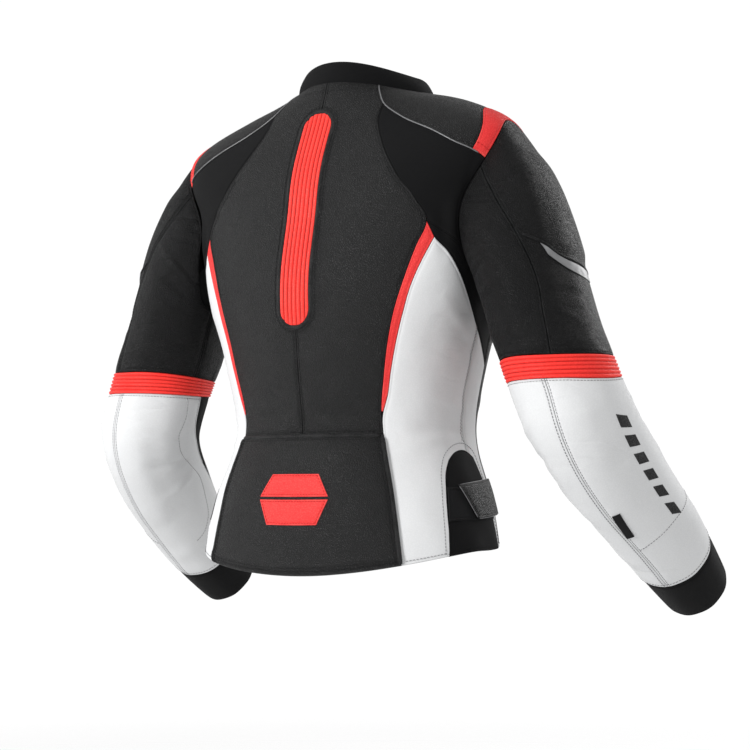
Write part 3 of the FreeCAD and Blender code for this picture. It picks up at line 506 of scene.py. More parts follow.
def stitchMesh(lines, pitch=stitch["pitch"], scale=1.0):
    # Each stitch is a small spindle: rings of four points along the seam's direction.
    rings = np.array([(-0.5, 0.25), (-0.34, 0.9), (0.0, 1.0), (0.34, 0.9), (0.5, 0.25)])
    turn = np.radians([45, 135, 225, 315])
    verts, faces = [], []
    start = 0
    for p, n in lines:
        q, m, d = resample(p, n, pitch * scale)
        across = unit(np.cross(m, d))
        up = unit(np.cross(d, across))
        x = rings[:, 0] * stitch["length"] * scale
        r = rings[:, 1] * stitch["radius"] * scale
        ring = (q[:, None, None] + d[:, None, None] * x[None, :, None, None]
                + across[:, None, None] * (r[:, None] * np.cos(turn))[None, ..., None]
                + up[:, None, None] * (stitch["lift"] + r[:, None] * np.sin(turn) * 0.9)[None, ..., None])
        count = len(q)
        verts.append(ring.reshape(-1, 3))
        one = np.concatenate([gridFaces(5, 4, 0, True), [[3, 2, 1, 0]], [[16, 17, 18, 19]]])
        faces.append((one[None] + (start + 20 * np.arange(count))[:, None, None]).reshape(-1, 4))
        start += 20 * count
    return np.concatenate(verts), np.concatenate(faces)[:, ::-1]


def capFaces(ring, flip):
    # Fan of quads over an even ring of points.
    ring = np.asarray(ring)
    k = np.arange(1, len(ring) - 2, 2)
    faces = np.stack([np.full(len(k), ring[0]), ring[k], ring[k + 1], ring[k + 2]], -1)
    return faces[:, ::-1] if flip else faces


def tubeMesh(p, n, radius, sides=10, flat=1.0, step=2.0, lift=0.0):
    # Round or flattened cord along a line on the surface, closed at both ends.
    q, m, d = resample(p, n, step)
    across = unit(np.cross(m, d))
    up = unit(np.cross(d, across))
    turn = np.arange(sides) * 2 * np.pi / sides
    size = np.ones(len(q))
    size[[0, -1]] = 0.5
    size[[1, -2]] = 0.9
    ring = (q[:, None] + across[:, None] * ((np.cos(turn) * radius)[None, :] * size[:, None])[..., None]
            + up[:, None] * ((np.sin(turn) * radius * flat)[None, :] * size[:, None] + lift)[..., None])
    count = len(q)
    faces = gridFaces(count, sides, 0, True)[:, ::-1]
    first = capFaces(np.arange(sides), False)
    last = capFaces((count - 1) * sides + np.arange(sides), True)
    return ring.reshape(-1, 3), np.concatenate([faces, first, last])


# Finishes
def operators(operation):
    # An operator and its reflected form, each one Math node.
    return (lambda wire, other: wire.maths(operation, wire, other),
            lambda wire, other: wire.maths(operation, other, wire))


class Wire:
    # A node's output that takes arithmetic.
    def __init__(self, tree, socket):
        self.tree, self.socket = tree, socket

    def maths(self, operation, first, second=None):
        node = self.tree.nodes.new("ShaderNodeMath")
        node.operation = operation
        feed(self.tree, node.inputs[0], first)
        if second is not None:
            feed(self.tree, node.inputs[1], second)
        return Wire(self.tree, node.outputs[0])

    __add__, __radd__ = operators("ADD")
    __sub__, __rsub__ = operators("SUBTRACT")
    __mul__, __rmul__ = operators("MULTIPLY")

    def sine(self):
        return self.maths("SINE", self)

    def absolute(self):
        return self.maths("ABSOLUTE", self)

    def atLeast(self, other):
        return self.maths("MAXIMUM", self, other)


def feed(tree, target, value):
    # Links a wire to a socket, or sets a plain value on it.
    if isinstance(value, Wire):
        tree.links.new(value.socket, target)
    else:
        target.default_value = value


class Finish:
    # A material, with one method for any node and short ones for the common patterns.
    def __init__(self, name, **fixed):
        self.material = bpy.data.materials.new(name)
        self.material.use_nodes = True
        self.tree = self.material.node_tree
        self.shader = self.tree.nodes["Principled BSDF"]
        for key, value in fixed.items():
            self.shader.inputs[inputNames.get(key, key)].default_value = value

    def node(self, kind, inputs=(), output=0, **settings):
        node = self.tree.nodes.new(kind)
        for key, value in settings.items():
            setattr(node, key, value)
        for key, value in dict(inputs).items():
            feed(self.tree, node.inputs[key], value)
        return Wire(self.tree, node.outputs[output])

    def place(self, scale=1.0, stretch=(1, 1, 1)):
        # Object coordinates, scaled along each axis.
        at = self.node("ShaderNodeTexCoord", output="Object")
        size = tuple(scale * k for k in stretch)
        return self.node("ShaderNodeMapping", {"Vector": at, "Scale": size})

    def cloth(self):
        # The two directions of the cloth map, in metres.
        uv = self.node("ShaderNodeUVMap", uv_map="cloth")
        apart = self.tree.nodes.new("ShaderNodeSeparateXYZ")
        feed(self.tree, apart.inputs[0], uv)
        return Wire(self.tree, apart.outputs[0]), Wire(self.tree, apart.outputs[1])

    def noise(self, scale, detail=3.0, rough=0.5, stretch=(1, 1, 1)):
        return self.node("ShaderNodeTexNoise", {"Vector": self.place(1.0, stretch), "Scale": scale,
                                                "Detail": detail, "Roughness": rough})

    def cells(self, scale, feature="F1"):
        return self.node("ShaderNodeTexVoronoi", {"Vector": self.place(), "Scale": scale}, output="Distance",
                         feature=feature)

    def ramp(self, value, low, high, bottom=0.0, top=1.0):
        # bottom up to low, top from high on, linear between.
        return self.node("ShaderNodeMapRange", {"Value": value, "From Min": low, "From Max": high,
                                                "To Min": bottom, "To Max": top})

    def mix(self, factor, first, second):
        return self.node("ShaderNodeMix", {0: factor, 6: first, 7: second}, output=2, data_type="RGBA")

    def seam(self):
        return self.node("ShaderNodeAttribute", output="Fac", attribute_name="seam")

    def bump(self, height, distance, strength=1.0, under=None):
        # Normal of a height of 0 to 1 times the distance, laid over another bump where one is given.
        inputs = {"Height": height, "Distance": distance, "Strength": strength}
        if under is not None:
            inputs["Normal"] = under
        return self.node("ShaderNodeBump", inputs)

    def set(self, **wires):
        for key, value in wires.items():
            feed(self.tree, self.shader.inputs[inputNames.get(key, key)], value)
        return self.material


inputNames = {"base": "Base Color", "roughness": "Roughness", "metallic": "Metallic", "coat": "Coat Weight",
              "coatRoughness": "Coat Roughness", "sheen": "Sheen Weight", "sheenRoughness": "Sheen Roughness",
              "sheenTint": "Sheen Tint", "specular": "Specular IOR Level", "normal": "Normal",
              "alpha": "Alpha"}


def colour(r, g, b):
    # Opaque colour from linear red, green and blue.
    return (r, g, b, 1.0)


def leather(name, dark, light, worn, roughness, grain=0.0005, specular=0.2, wrinkle=0.35, broken=True,
            pits=0.5):
    # Pebbled grain over sharp creases and slow swells, drier in the grain's valleys; near a seam a third
    # colour: paler wear on the black, red and grey, darker on the white, and painted shade in the grooves of
    # the red ribs.
    f = Finish(name, specular=specular)
    slow = f.ramp(f.noise(9.0, 4.0, 0.55), 0.32, 0.68)
    valleys = f.ramp(f.cells(430.0, "DISTANCE_TO_EDGE"), 0.0, 0.24)
    fine = f.ramp(f.cells(1100.0, "DISTANCE_TO_EDGE"), 0.0, 0.20)
    edge = f.ramp(f.seam(), 0.2, 2.6, 1.0, 0.0)
    tone = f.mix(slow * 0.6 + valleys * 0.4, dark, light)
    tone = f.mix((1 - valleys) * pits, tone, tuple(k * 0.5 for k in dark[:3]) + (1.0,))
    scuffAndGrooveShade = f.ramp(f.noise(55.0, 3.0), 0.40, 0.62) * 0.7 if broken else 0.92
    # The third colour goes in near a seam. For scuffs it is broken up by noise; for the ribs' painted groove
    # shade it is even.
    tone = f.mix(edge * scuffAndGrooveShade, tone, worn)
    gloss = roughness + (slow - 0.5) * 0.08 + edge * 0.06 + (1 - valleys) * 0.28
    pores = f.bump(fine, grain * 0.3, 0.6, f.bump(valleys, grain, 0.8))
    lines = f.ramp((f.noise(9.0, 3.0, 0.6, (0.7, 0.7, 2.0)) - 0.5).absolute(), 0.0, 0.06)
    lines = lines.atLeast(f.ramp(f.noise(7.0, 2.0), 0.44, 0.56))
    creases = f.bump(lines, 0.0016, wrinkle, pores)
    swell = f.bump(f.noise(24.0, 3.0, 0.5), 0.006, wrinkle, creases)
    return f.set(base=tone, roughness=gloss, normal=swell)


def knit(name, dark, light, roughness, pitch=1.1, depth=0.00022, sheen=0.02):
    # Fine ribbed stretch cloth: sine ribs on the cloth's own directions, crossed by a finer weave.
    f = Finish(name, specular=0.10, sheen=sheen, sheenRoughness=0.45)
    u, v = f.cloth()
    ribs = (u * (6283.0 / pitch)).sine() * 0.5 + 0.5
    weave = (v * (6283.0 / (pitch * 0.7))).sine() * 0.5 + 0.5
    cloth = ribs * 0.7 + weave * 0.3
    slow = f.ramp(f.noise(13.0, 3.0), 0.35, 0.65)
    tone = f.mix(cloth * 0.6 + slow * 0.4, dark, light)
    return f.set(base=tone, roughness=f.ramp(slow, 0, 1, roughness, roughness + 0.1),
                 normal=f.bump(f.noise(30.0, 4.0), 0.0012, 0.35, f.bump(cloth, depth, 0.8)))


def metal(name, tone, rub, roughness):
    # Plated metal: brushed along the part, a little brighter where hands rub it.
    f = Finish(name)
    brushed = f.noise(900.0, 2.0, 0.6, (1, 1, 0.08))
    rubbed = f.ramp(f.noise(120.0, 3.0), 0.45, 0.7)
    return f.set(base=f.mix(rubbed, tone, rub), metallic=0.95, roughness=roughness + brushed * 0.15,
                 normal=f.bump(brushed, 0.00005, 0.4))


def mesh(name, dark, light):
    # Knitted mesh: a grid of small holes on the cloth's own directions.
    f = Finish(name, specular=0.12)
    u, v = f.cloth()
    holes = ((u * 2100.0).sine() * (v * 2100.0).sine()).absolute()
    return f.set(base=f.mix(holes, dark, light), roughness=f.ramp(holes, 0, 1, 0.7, 0.9),
                 normal=f.bump(holes, 0.0004, 0.8))


def foam(name, dark, light):
    # Moulded foam: a fine pitted skin.
    f = Finish(name, specular=0.35)
    pits = f.cells(420.0)
    slow = f.noise(20.0, 3.0)
    return f.set(base=f.mix(pits * 0.5 + slow * 0.5, dark, light), roughness=0.55 + pits * 0.2,
                 normal=f.bump(pits, 0.0002, 0.6))


def film(name, dark, light):
    # Reflective film over a fine woven back.
    f = Finish(name, specular=0.6)
    u, v = f.cloth()
    weave = (u * 5200.0).sine() * (v * 5200.0).sine() * 0.5 + 0.5
    worn = f.ramp(f.noise(90.0, 4.0), 0.45, 0.75)
    return f.set(base=f.mix(weave * 0.4 + worn * 0.4, light, dark), roughness=0.35 + worn * 0.25,
                 metallic=0.25, normal=f.bump(weave, 0.00006, 0.6))


def yarn(name, dark, light):
    # Twisted sewing thread.
    f = Finish(name, specular=0.15)
    twist = f.noise(1500.0, 1.0)
    return f.set(base=f.mix(twist, dark, light), roughness=0.6 + twist * 0.2,
                 normal=f.bump(twist, 0.0001, 0.5))


# Dark, light and the colour near a seam for each leather: paler wear on black, red and ink, darker near the
# seams on white, painted shade on the ribs.
tones = {
    "black": (colour(0.0022, 0.0022, 0.0024), colour(0.0058, 0.0058, 0.0061), colour(0.014, 0.014, 0.0145)),
    "white": (colour(0.515, 0.52, 0.525), colour(0.54, 0.545, 0.55), colour(0.46, 0.465, 0.47)),
    "red": (colour(0.52, 0.016, 0.019), colour(0.64, 0.045, 0.040), colour(0.66, 0.07, 0.06)),
    # The ribs' dark red third colour is painted shade for the grooves between the ribs.
    "ribs": (colour(0.70, 0.018, 0.014), colour(0.82, 0.050, 0.038), colour(0.22, 0.002, 0.003)),
    "ink": (colour(0.010, 0.010, 0.0105), colour(0.022, 0.022, 0.023), colour(0.03, 0.03, 0.03)),
}
blackLeather = leather("blackLeather", *tones["black"], 0.35, grain=0.0010, specular=0.26, wrinkle=0.20,
                       pits=0.85)
sleeveLeather = leather("sleeveLeather", *tones["black"], 0.34, grain=0.0008, specular=0.14, wrinkle=0.9,
                        pits=0.85)
whiteLeather = leather("whiteLeather", *tones["white"], 0.50, grain=0.00005, specular=0.25, wrinkle=0.20,
                       pits=0.06)
redLeather = leather("redLeather", *tones["red"], 0.48, grain=0.0002, specular=0.16, wrinkle=0.2, pits=0.15)
# Red rib finish that paints shade evenly into the grooves between the ribs.
redRibsGrooveShade = leather("redRibsGrooveShade", *tones["ribs"], 0.42, grain=0.00008, specular=0.20, wrinkle=0.0, broken=False,
                  pits=0.1)
stretchCloth = knit("stretchCloth", colour(0.0016, 0.0016, 0.0018), colour(0.0042, 0.0042, 0.0046), 0.78)
neoprene = knit("neoprene", colour(0.0016, 0.0016, 0.0018), colour(0.0038, 0.0038, 0.0042), 0.80, pitch=0.9)
tapeCloth = knit("tapeCloth", colour(0.003, 0.003, 0.0033), colour(0.010, 0.010, 0.0108), 0.75, pitch=1.4)
darkMetal = metal("darkMetal", colour(0.20, 0.20, 0.21), colour(0.42, 0.42, 0.43), 0.28)
liningMesh = mesh("liningMesh", colour(0.004, 0.004, 0.0045), colour(0.020, 0.020, 0.022))
armourFoam = foam("armourFoam", colour(0.03, 0.03, 0.033), colour(0.07, 0.07, 0.075))
greyFilm = film("greyFilm", colour(0.07, 0.07, 0.073), colour(0.17, 0.173, 0.177))
pipingGrey = film("pipingGrey", colour(0.05, 0.05, 0.052), colour(0.13, 0.13, 0.134))
blackThread = yarn("blackThread", colour(0.0010, 0.0010, 0.0010), colour(0.012, 0.012, 0.0125))
greyThread = yarn("greyThread", colour(0.12, 0.12, 0.125), colour(0.20, 0.20, 0.205))
redThread = yarn("redThread", colour(0.30, 0.006, 0.008), colour(0.45, 0.012, 0.012))
inkGrey = leather("inkGrey", *tones["ink"], 0.5, grain=0.0001)
print("finishes ready")


def fit(name, mesh, finish, slotName, body="torso", replaces=(), twice=True, uvs=None, seam=None, bend=None,
        fill=None, sides=("right", "left")):
    # Puts a right-hand piece, and its mirror image where there are two, on its body, and leaves it unparented
    # with its transform applied where a bend is given.
    verts, faces = mesh
    made = []
    for side in (sides if twice else ("",)):
        flip = side == "left"
        obj = addObject(name + ("_" + side if side else ""), verts * (np.array([-1, 1, 1]) if flip else 1),
                        faces[:, ::-1] if flip else faces, uvs, seam)
        obj.data.materials.append(finish)
        if bend is None:
            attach(obj, body.format(side=side))
        else:
            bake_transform(obj)
        for node in replaces:
            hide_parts(node.format(side=side))
        made.append(obj)
    return made


def sew(name, panel, finish, slotName, **more):
    # Fits a panel's mesh with its cloth map and its seam values: distances from the seam, and on the elbow
    # band the rib height for painted groove shade.
    return fit(name, (panel.verts, panel.faces), finish, slotName, uvs=panel.uvs, seam=panel.seam, **more)


threads = {}


def topstitch(group, *lines):
    # Adds stitch lines to a group that becomes one piece.
    threads.setdefault(group, []).extend(lines)


# Back
waist = straight((0, waistV), (39, waistV))
backEdge = chain((through(backSeam, 3, 15), 0.88), (through(pipingSeam, 2, 0), 0.12))
backPatch = coons(waist, straight((0, 1.0), (44, 1.0)), straight((0, waistV), (0, 1.0)), backEdge)
backPanel = Panel(trunk, backPatch, step=(3.2, 3.4))
sew("backPanel", backPanel, blackLeather, "black_leather", replaces=("back_panel_{side}",))
topstitch("torsoBlack", backPanel.line(2, 2.6, (0.0, 0.33)), backPanel.line(2, 2.6, (0.945, 1.0)),
          backPanel.line(3, 2.6, (0.0, 0.90)), backPanel.line(3, 6.0, (0.42, 0.74)))


def lowerBackCrown(a, b, edge):
    # A crown that falls off with the fourth power of the width, and a low roll along the hem.
    crown = 2.6 * (1 - np.clip(np.abs(a) / 42, 0, 1)**4)
    return (crown * smoothStep(b, 0.0, 0.06) * smoothStep(waistV - b, 0, 0.05)
            + 0.8 * smoothStep(b, 0.006, 0.012) * (1 - smoothStep(b, 0.020, 0.034)))


hemEdge = through(backSeam, 0, 3)
lowerBack = Panel(trunk, coons(straight((-42.5, 0), (42.5, 0)), straight((-39, waistV), (39, waistV)),
                               lambda s: hemEdge(s) * np.array([-1, 1]), hemEdge),
                  lift=2.2, wall=4.7, roll=1.8, puff=1.2, shape=lowerBackCrown, step=(3.4, 3.4))
sew("lowerBackPanel", lowerBack, blackLeather, "black_leather", replaces=("lower_back_panel",), twice=False,
    fill=0.4)
topstitch("torsoBlackOnce", lowerBack.line(1, 7.0), lowerBack.line(0, 4.5), lowerBack.line(0, 7.5),
          lowerBack.line(2, 7.5), lowerBack.line(3, 7.5))
topFold = lowerBack.line(1, 2.2, (0.012, 0.988))
fit("lowerBackFold", tubeMesh(*topFold, 2.8, 12, 0.7, 2.5, -0.3), blackLeather, "black_leather", twice=False)
edgeRoll = lowerBack.line(3, 1.2, (0.0, 0.985))
fit("lowerBackRoll", tubeMesh(*edgeRoll, 2.6, 12, 0.85, 2.5, -0.2), blackLeather, "black_leather")

badge = {"wide": 15.5, "narrow": 11.0, "rows": ((0.095, 0.147), (0.153, 0.205)), "lift": 4.0, "wall": 1.4}
for index, (low, high) in enumerate(badge["rows"]):
    w0, w1 = (badge["narrow"], badge["wide"]) if index == 0 else (badge["wide"], badge["narrow"])
    half = Panel(trunk, quad((-w0, low), (w0, low), (-w1, high), (w1, high)), lift=badge["lift"],
                 wall=badge["wall"], roll=0.6, puff=0.5, gap=0.0, step=(2.5, 2.5), shape=lowerBackCrown)
    sew("backBadge" + str(index), half, redLeather, "red_leather", twice=False,
        replaces=("lower_back_emblem",) if index == 0 else ())
    topstitch("torsoRedOnce", *[half.line(side, 2.2, (0.03, 0.97)) for side in range(4)])

strip = Panel(trunk, coons(straight(backSeam[4], stripSeam[0]), straight(backSeam[10], stripSeam[-1]),
                           through(backSeam, 4, 10), through(stripSeam)), step=(2.4, 4.0), roll=0.9)
sew("accentStrip", strip, redLeather, "red_leather", replaces=("accent_strips",))
print("back sewn")

# Spine
spine = {"halfWidth": 20.0, "top": -38.0, "bottom": -286.0, "ribs": 7, "ribHeight": 2.0, "lift": 0.2,
         "borderWidth": 5.6, "borderHeight": 2.0}


def onBack(x, z, lift):
    # Finds the trunk's theta and v at a given width and height by Newton steps.
    theta = -np.asarray(x, float) / 3.0
    v = np.interp(z, [-402, -315, -232, -168, -100, -46, 0], [0.32, 0.50, 0.66, 0.78, 0.88, 0.94, 1.0])
    for _ in range(12):
        p = trunk(theta, v)
        right = trunk(theta + 0.1, v) - p
        up = trunk(theta, v + 0.001) - p
        theta = theta + np.clip((x - p[..., 0]) / right[..., 0] * 0.1, -5, 5)
        v = np.clip(v + np.clip((z - p[..., 2]) / up[..., 2] * 0.001, -0.03, 0.03), 0.4, 0.999)
    n = normalOf(trunk, theta, v)
    return trunk(theta, v) + n * (lift + push(trunk, theta, v))[..., None], n


def slotLine(grow, count=360):
    # Round the slot: straight sides and half circles, at a set distance outside it.
    r = spine["halfWidth"] + grow
    top, bottom = spine["top"] - spine["halfWidth"], spine["bottom"] + spine["halfWidth"]
    side, bow = top - bottom, np.pi * r
    d = np.linspace(0, 2 * side + 2 * bow, count)
    x = np.select([d < side, d < side + bow, d < 2 * side + bow],
                  [r + 0 * d, r * np.cos((d - side) / r), -r + 0 * d],
                  r * np.cos(np.pi + (d - 2 * side - bow) / r))
    z = np.select([d < side, d < side + bow, d < 2 * side + bow],
                  [bottom + d, top + r * np.sin((d - side) / r), top - (d - side - bow)],
                  bottom + r * np.sin(np.pi + (d - 2 * side - bow) / r))
    return x, z


def spinePanel():
    # Upright ribs, each a power of a half sine across the slot, that end inside its rounded outline.
    rows = np.linspace(spine["bottom"] + 0.4, spine["top"] - 0.4, 190)
    u = np.linspace(-1, 1, 141)
    r = spine["halfWidth"]
    fromEnd = np.minimum(rows - spine["bottom"], spine["top"] - rows)
    half = np.where(fromEnd < r, np.sqrt(np.maximum(r * r - (r - np.minimum(fromEnd, r))**2, 1)), r) + 0.6
    x = u[None, :] * half[:, None]
    z = np.repeat(rows[:, None], len(u), 1)
    phase = (x / r * 0.5 + 0.5) * spine["ribs"]
    gather = 0.10 * np.sin(z * 1.9 + np.floor(phase) * 2.1) + 0.08 * np.sin(z * 0.83 + np.floor(phase) * 1.3)
    rib = np.abs(np.sin(np.pi * phase))**0.75 * (spine["ribHeight"] + gather)
    inside = np.clip((half[:, None] - np.abs(x)) / 1.5, 0, 1)
    inside = inside * np.clip(fromEnd[:, None] / 2.0, 0, 1)
    p, n = onBack(x, z, 0.0)
    outer = p + n * (spine["lift"] + rib * inside)[..., None]
    inner = p - n * 2.4
    faces = outwards(slabFaces(len(rows), len(u)), outer, n[50, 60], 50, 60)
    # The seam attribute is the rib height, so the rib finish paints shade into the grooves between the ribs.
    seam = np.concatenate([(rib * 1.9).ravel(), np.full(rib.size, 9.0)])
    return np.concatenate([outer.reshape(-1, 3), inner.reshape(-1, 3)]), faces, bothSkins(x, z), seam


verts, faces, uvs, seam = spinePanel()
fit("spineRibs", (verts, faces), redRibsGrooveShade, "red_stretch", replaces=("spine_stretch_panel",), twice=False,
    uvs=uvs, seam=seam)


def borderMesh():
    # A padded lip round the slot: a half-round section carried along the slot's outline.
    k = np.linspace(0, 1, 13)
    across = -0.6 + spine["borderWidth"] * k
    height = spine["borderHeight"] * np.sin(np.pi * (0.12 + 0.86 * k))**0.7 + 0.3 * (1 - k)
    rings = []
    for grow, rise in zip(across, height):
        x, z = slotLine(grow)
        rings.append(onBack(x[:-1], z[:-1], rise)[0])
    x, z = slotLine(spine["borderWidth"] - 0.6)
    rings.append(onBack(x[:-1], z[:-1], -1.6)[0])
    x, z = slotLine(-0.6)
    rings.append(onBack(x[:-1], z[:-1], -1.6)[0])
    verts = np.stack(rings, 0)
    count = verts.shape[1]
    faces = gridFaces(len(rings), count, 0, True)
    last = (len(rings) - 1) * count
    i = np.arange(count)
    j = (i + 1) % count
    faces = np.concatenate([faces, np.stack([last + i, last + j, j, i], -1)])
    return verts.reshape(-1, 3), faces[:, ::-1]


fit("spineBorder", borderMesh(), blackLeather, "black_leather", replaces=("spine_piping",), twice=False,
    fill=0.8)
slotX, slotZ = slotLine(spine["borderWidth"] + 1.6, 900)
topstitch("torsoBlackOnce", onBack(slotX, slotZ, 0.8))
print("spine ribbed")

# Sides
sideSeam = straight((91, 0.0), underarmSeam[6])
sidePanel = Panel(trunk, coons(straight(sideBackSeam[0], (91, 0)), through(underarmSeam, 1, 6),
                               through(sideBackSeam), sideSeam), roll=0.9)
sew("sidePanel", sidePanel, whiteLeather, "white_leather", replaces=("side_panel_{side}",))
sideFront = Panel(trunk, coons(straight((91, 0), frontSeam[0]), through(underarmSeam, 6, 8), sideSeam,
                               through(frontSeam, 0, 2)), roll=0.9)
sew("sideFrontPanel", sideFront, whiteLeather, "white_leather", replaces=("side_front_panels",))
gussetPatch = coons(straight(gussetRear[0], gussetFore[0]), through(gussetTop),
                    chain((straight(*gussetRear[:2]), 0.40), (through(gussetRear, 1, 4), 0.60)),
                    chain((straight(*gussetFore[:2]), 0.40), (through(gussetFore, 1, 3), 0.60)))
gusset = Panel(trunk, gussetPatch, lift=1.1, wall=3.4, roll=1.2, puff=0.6, gap=0.0)
sew("hipGusset", gusset, neoprene, "neoprene", replaces=("hip_gussets",))
archLine = through([(61.4, 0.004), (62.2, 0.10), (63.4, 0.165), (66.2, 0.224), (70.6, 0.258), (78, 0.279),
                    (88, 0.285), (98.0, 0.266), (101.6, 0.20), (105.8, 0.10), (108.0, 0.004)])
archAt = archLine(np.linspace(0, 1, 600))
topstitch("torsoGrey", onSurface(trunk, archAt, 0.75), sidePanel.line(3, 2.4, (0.52, 1.0)),
          sidePanel.line(3, 6.0, (0.52, 1.0)), sidePanel.line(0, 4.0, (0.03, 0.40)))
tape = Panel(trunk, quad((64.6, 0.085), (103.4, 0.085), (66.4, 0.17), (100.5, 0.17)),
             lift=2.6, wall=1.2, roll=0.5, puff=0.2, gap=0.0)
sew("adjusterLoop", tape, tapeCloth, "neoprene", replaces=("adjuster_loops",))
topstitch("torsoBlack", tape.line(0, 1.8), tape.line(1, 1.8))
tab = Panel(trunk, quad((84, 0.085), (110, 0.095), (73, 0.175), (105, 0.192)),
            lift=5.6, wall=2.0, roll=1.2, puff=0.8, gap=0.0, step=(2.6, 2.6), folds=0.3)
sew("waistTab", tab, blackLeather, "black_leather", body="waist_tab_{side}", replaces=("waist_tab_{side}",))
tabRim = [tab.line(k, 0.3, (0.02, 0.98)) for k in (0, 1, 2)]
for index, (p, n) in enumerate(tabRim):
    fit("waistTabRim" + str(index), tubeMesh(p, n, 0.75, 8, 0.9, 2.0, -0.9), pipingGrey, "reflective",
        body="waist_tab_{side}")
print("sides sewn")

# Shoulder blades, yoke, underarms
bladeFoot = through([backSeam[10], (56, 0.733), tuple(armholeAt(-30.0))])
blade = Panel(trunk, coons(bladeFoot, through(pipingSeam, 2, 7), through(backSeam, 10, 15),
                           lambda s: armholeAt(-30 + 63 * s)), lift=-0.3, roll=0.8, puff=0.3)
sew("bladePanel", blade, stretchCloth, "stretch_fabric", replaces=("blade_panel_{side}",))
underarm = Panel(trunk, coons(through(underarmSeam), lambda s: armholeAt(-30 - 80 * s), bladeFoot,
                              through(frontSeam, 2, 4)), lift=-0.3, roll=0.8, puff=0.3)
sew("underarmPanel", underarm, stretchCloth, "stretch_fabric", replaces=("underarm_panels",))


def bandEdge():
    # The armhole's ellipse grown on both axes, run on to the front of the shoulder.
    psi = np.radians(33.0 + (150.0 - 33.0) * np.arange(9) / 8)
    inner = np.stack([armhole["theta"] - (armhole["halfTheta"] + 9.0) * np.cos(psi),
                      armhole["v"] + (armhole["halfV"] + 0.028) * np.sin(psi)], -1)
    return [tuple(q) for q in inner] + [(125.9, 0.81), (124.5, 0.785)]


bandInner = bandEdge()
yoke = Panel(trunk, coons(through(bandInner, 0, 8), straight(pipingSeam[0], yokeFront[-1]),
                          through(pipingSeam, 6, 0), through(yokeFront)))
sew("yoke", yoke, blackLeather, "black_leather", replaces=("yoke_{side}",))
pipeAt = through(pipingSeam)(np.linspace(0.0, 0.93, 500))
fit("yokePiping", tubeMesh(*onSurface(trunk, pipeAt, 0.35), 0.85, 8, 1.0, 2.0), pipingGrey, "reflective")
band = Panel(trunk, coons(lambda s: armholeAt(33 + 143 * s), through(bandInner),
                          straight(armholeAt(33.0), bandInner[0]), straight(armholeAt(176.0), bandInner[-1])),
             lift=0.5, roll=1.0, step=(3.2, 2.4))
sew("shoulderBand", band, redLeather, "red_leather", replaces=("shoulder_bands",))
topstitch("torsoRed", band.line(2, 7.0))
topstitch("torsoBlack", yoke.line(0, 2.4))

# Front
rail = {"y": body["frontPlane"], "gap": 0.8, "width": 2.2, "tape": 10.0, "top": -70.0, "bottom": -508.0}


def frontTheta(v):
    # Where the front panels end, at a set width from the centre line, by halving.
    reach = rail["gap"] + rail["width"] + rail["tape"] + 0.5
    low, high = np.full(np.shape(v), 90.0), np.full(np.shape(v), 180.0)
    for _ in range(30):
        middle = (low + high) / 2
        wide = -trunk(middle, v)[..., 0] > reach
        low, high = np.where(wide, middle, low), np.where(wide, high, middle)
    return (low + high) / 2


def frontEdge(v0, v1):
    # The panels' front edge between two heights, over 0 to 1.
    def at(s):
        v = v0 + (v1 - v0) * np.asarray(s, float)
        return np.stack([frontTheta(v), v], -1)
    return at


chestV = 0.662
edge = frontEdge(0.0, chestV)
frontPanel = Panel(trunk, coons(straight((112, 0), edge(0.0)), straight(frontSeam[-1], edge(1.0)),
                                through(frontSeam), edge))
sew("frontPanel", frontPanel, blackLeather, "black_leather", replaces=("front_panel_{side}",))
topstitch("torsoBlack", frontPanel.line(3, 3.0), frontPanel.line(2, 2.6), frontPanel.line(0, 5.0),
          frontPanel.line(1, 2.6))
start = armholeAt(250.0)
edge = frontEdge(start[1], 1.0)
chestSide = chain((lambda s: armholeAt(250 - 66 * s), 0.42),
                  (straight(armholeAt(184.0), bandInner[10]), 0.04), (through(bandInner, 10, 8), 0.16),
                  (through(yokeFront), 0.38))
chest = Panel(trunk, coons(straight(start, edge(0.0)), straight(yokeFront[-1], edge(1.0)), chestSide, edge))
sew("chestPanel", chest, blackLeather, "black_leather", replaces=("chest_panels",))
topstitch("torsoBlack", chest.line(3, 3.0))


def blocks(centres, half, endSize=0.55):
    # Small rounded blocks: four rings of eight points along X.
    turn = (np.arange(8) + 0.5) * np.pi / 4
    rings = np.array([(-1.0, endSize), (-0.72, 1.0), (0.72, 1.0), (1.0, endSize)])
    square = 1 / np.maximum(np.abs(np.cos(turn)), np.abs(np.sin(turn)))**0.55
    shape = np.stack([np.repeat(rings[:, 0] * half[0], 8),
                      (rings[:, 1:] * np.cos(turn) * square).ravel() * half[1],
                      (rings[:, 1:] * np.sin(turn) * square).ravel() * half[2]], -1)
    verts = centres[:, None, :] + shape[None]
    one = np.concatenate([gridFaces(4, 8, 0, True), capFaces(np.arange(8), True),
                          capFaces(24 + np.arange(8), False)])
    faces = one[None] + (32 * np.arange(len(centres)))[:, None, None]
    return verts.reshape(-1, 3), faces.reshape(-1, 4)


toothPitch = 2.8
toothZ = np.arange(rail["bottom"] + 2, rail["top"] - 1, toothPitch)
for side, sign in (("Right", -1), ("Left", 1)):
    z = toothZ + (toothPitch / 2 if sign > 0 else 0)
    z = z[z < rail["top"] - 1]
    centres = np.stack([np.full(len(z), sign * 1.55), np.full(len(z), rail["y"]), z], -1)
    fit("zipTeeth" + side, blocks(centres, (1.45, 0.95, 0.85)), darkMetal, "zip_metal", twice=False,
        replaces=("front_zip_teeth",) if sign < 0 else ())
tapeZ = np.linspace(rail["bottom"] - 4, rail["top"] + 4, 150)
tapeX = -(rail["gap"] + np.array([0.6, 1.6, 2.4, 4.0, 6.5, 9.0, 11.0, 12.0]))


